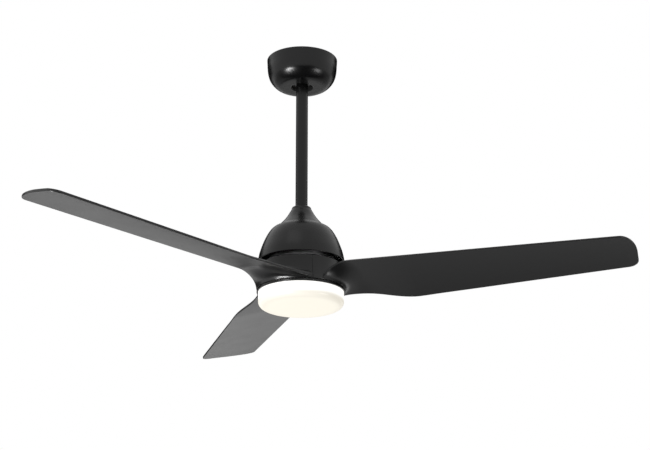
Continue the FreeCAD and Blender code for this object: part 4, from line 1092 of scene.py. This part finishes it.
@dataclass
class Light(Assembly):
    """Thin ring and opal dish below the hub."""

    radius: float = 88.0
    top: float = -520.15
    low: float = -552.7
    crown: float = -553.65
    corner: float = 11.5
    wall: float = 2.2
    lip: float = 0.6
    band: tuple[Point, ...] = (
        (91.4, -517.95), (91.4, -522.4), (88.3, -522.4), (88.3, -520.15), (79.0, -520.15),
        (79.0, -517.4), (87.4, -517.4), (87.4, -517.95))
    band_rounds: tuple[float, ...] = (0.7, 0.9, 0.3, 0.2, 0.3, 0.3, 0.1, 0.1)

    def dish(self) -> Surface:
        """The opal dish: a straight wall, a quarter-round corner and a floor that bulges a little.

        The outside is z = crown + (low - crown) * (r / radius)^2 below, a quarter circle at the
        corner, and a straight wall; the inside is the same moved in by the wall.

        Returns:
            The closed dish.
        """
        reach = self.radius - self.corner
        out = np.linspace(reach, 0.0, 34)
        floor = np.stack([out, self.crown + (self.low - self.crown) * (out / reach) ** 2], axis=1)
        turn = np.linspace(0.0, math.pi / 2.0, 19)[:, None]
        middle = np.array([[reach, self.low + self.corner]])
        corner = middle + self.corner * np.hstack([np.cos(turn), -np.sin(turn)])
        side = np.linspace((self.radius, self.top - self.lip), (self.radius, middle[0, 1]), 12)[:-1]
        outside = np.concatenate([side, corner[:-1], floor])
        along = unit_tangents(outside)
        inside = outside + self.wall * np.stack([along[:, 1], -along[:, 0]], axis=1)
        inside[-1, 0] = 0.0
        inner = self.radius - self.wall
        lip = np.array([[inner, self.top - self.lip], [inner + self.lip, self.top],
                        [self.radius - self.lip, self.top]])
        return turned_dish(np.concatenate([inside[::-1][:-1], lip, outside]))

    def ring(self) -> Surface:
        """The ring: an outer band with small rounds and a ledge inwards, turned."""
        return turned_ring(rounded_loop(self.band, self.band_rounds))

    def build(self) -> None:
        """Builds the ring and the dish."""
        self.mount("light_band", self.ring(), "satin_black", "drop_assembly", "light_trim_ring")
        self.mount("opal_dish", self.dish(), "opal_plastic", "drop_assembly", "diffuser")


# --- Studio -------------------------------------------------------------------------


@dataclass(frozen=True)
class SoftBox:
    """A soft rectangular lamp that shines at a point."""

    name: str
    place: Place
    aim: Place
    size: Point
    power: float

    def build(self, azimuth: float) -> None:
        """Makes the lamp, turned with the camera, facing its aim and unseen by the camera.

        Args:
            azimuth: Turn of the camera in degrees, from looking along +Y.
        """
        turn = Matrix.Rotation(math.radians(azimuth), 4, "Z")
        place, aim = turn @ Vector(self.place), turn @ Vector(self.aim)
        lamp = bpy.data.lights.new(self.name, "AREA")
        lamp.shape = "RECTANGLE"
        lamp.size, lamp.size_y = self.size
        lamp.energy = self.power
        holder = bpy.data.objects.new(self.name, lamp)
        holder.location = place
        holder.rotation_euler = (aim - place).to_track_quat("-Z", "Y").to_euler()
        holder.visible_camera = False
        bpy.context.scene.collection.objects.link(holder)


@dataclass(frozen=True)
class DarkCard:
    """A black card that only mirrors see: it keeps the surroundings out of a glossy surface."""

    name: str
    low: Place
    high: Place

    def build(self, azimuth: float) -> None:
        """Makes the card, turned with the camera.

        Args:
            azimuth: Turn of the camera in degrees, from looking along +Y.
        """
        black = new_material(self.name, {
            "Base Color": (0.004, 0.004, 0.004, 1.0), "Roughness": 1.0, "Specular IOR Level": 0.0})
        card = flat_piece(self.name, self.low, self.high, black, azimuth)
        card.visible_camera = card.visible_diffuse = False
        card.visible_shadow = card.visible_transmission = False


@dataclass(frozen=True)
class Studio:
    """Camera, lamps, cards, floor and surroundings."""

    pivot: Place = (0.0, 0.0, -0.4773)
    distance: float = 3.473
    azimuth: float = 14.6
    elevation: float = -17.60
    pitch: float = 19.21
    yaw: float = 0.85
    lens: float = 93.25
    floor_height: float = -2.4
    floor_reach: float = 7.0
    surround: float = 0.45
    lamps: tuple[SoftBox, ...] = (
        SoftBox("lamp_low_left", (-1.22, -1.08, -1.26), (0.0, 0.0, -0.05), (0.55, 0.45), 80.0),
        SoftBox("lamp_low_right", (1.43, -0.78, -1.27), (0.0, 0.0, -0.05), (0.65, 0.5), 12.0),
        SoftBox("lamp_top", (-1.2, -2.4, 3.2), (0.0, 0.0, -0.4), (2.4, 1.6), 7.0),
    )
    cards: tuple[DarkCard, ...] = (
        DarkCard("card_below", (-2.2, -3.2, -1.35), (2.2, 0.55, -1.35)),
        DarkCard("card_behind", (-8.6, 5.0, -0.42), (8.6, 5.0, 3.2)),
    )

    def camera(self) -> None:
        """Places the camera on a sphere about the pivot and turns it by its pitch and yaw."""

        def toward(turn: float, rise: float) -> Vector:
            """Unit vector at a turn from +Y, and a rise from level, in degrees."""
            t, e = math.radians(turn), math.radians(rise)
            return Vector((-math.sin(t) * math.cos(e), math.cos(t) * math.cos(e), math.sin(e)))

        lens = bpy.data.cameras.new("camera")
        lens.lens, lens.sensor_width = self.lens, 36.0
        lens.clip_start, lens.clip_end = 0.05, 60.0
        holder = bpy.data.objects.new("camera", lens)
        gaze = toward(self.azimuth - self.yaw, self.pitch)
        turn = gaze.to_track_quat("-Z", "Y").to_matrix().to_4x4()
        spot = Vector(self.pivot) - toward(self.azimuth, -self.elevation) * self.distance
        holder.matrix_world = Matrix.Translation(spot) @ turn
        bpy.context.scene.collection.objects.link(holder)
        bpy.context.scene.camera = holder

    def world(self) -> None:
        """Surroundings that are white where they are seen or mirrored, and dimmer as a source of light."""
        world = bpy.data.worlds.new("surroundings")
        world.use_nodes = True
        tree = world.node_tree
        white = (1.0, 1.0, 1.0, 1.0)
        light = set_inputs(tree.nodes["Background"], {"Color": white, "Strength": self.surround})
        seen = add_node(tree, "ShaderNodeBackground", {"Color": white})
        path = add_node(tree, "ShaderNodeLightPath").outputs
        either = math_of(tree, "ADD", path["Is Camera Ray"], path["Is Glossy Ray"])
        any_ray = math_of(tree, "ADD", either, path["Is Transmission Ray"], use_clamp=True)
        mix = add_node(tree, "ShaderNodeMixShader", {0: any_ray, 1: light.outputs[0], 2: seen.outputs[0]})
        set_inputs(tree.nodes["World Output"], {"Surface": mix.outputs[0]})
        bpy.context.scene.world = world

    def floor(self) -> None:
        """A plain pale floor: one flat face, clear from below so that the fan is seen from there too."""
        material = new_material("pale_floor", {
            "Base Color": (0.78, 0.78, 0.78, 1.0), "Roughness": 0.9, "Specular IOR Level": 0.1})
        tree = material.node_tree
        clear = add_node(tree, "ShaderNodeBsdfTransparent").outputs[0]
        below = add_node(tree, "ShaderNodeNewGeometry").outputs["Backfacing"]
        above = tree.nodes["Principled BSDF"].outputs[0]
        mix = add_node(tree, "ShaderNodeMixShader", {0: below, 1: above, 2: clear})
        set_inputs(tree.nodes["Material Output"], {"Surface": mix.outputs[0]})
        far, z = self.floor_reach, self.floor_height
        floor = flat_piece("floor", (-far, -far, z), (far, far, z), material)

    def build(self) -> None:
        """Sets up the whole studio."""
        self.camera()
        self.world()
        self.floor()
        for item in (*self.lamps, *self.cards):
            item.build(self.azimuth)
        bpy.context.scene.view_settings.view_transform = "Standard"


def main() -> None:
    """Dresses the frame, builds every sub-assembly in order, reports its pieces and sets up the studio."""
    logging.basicConfig(level=logging.INFO, format="%(name)s: %(message)s")
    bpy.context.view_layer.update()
    palette = Palette(FINISHES)
    palette.dress_frame(frame["nodes"], frame["record"])
    for kind in (Canopy, DropTube, MotorCover, Blades, Light):
        assembly = kind(palette)
        assembly.build()
    Studio().build()


if __name__ == "__main__":
    main()
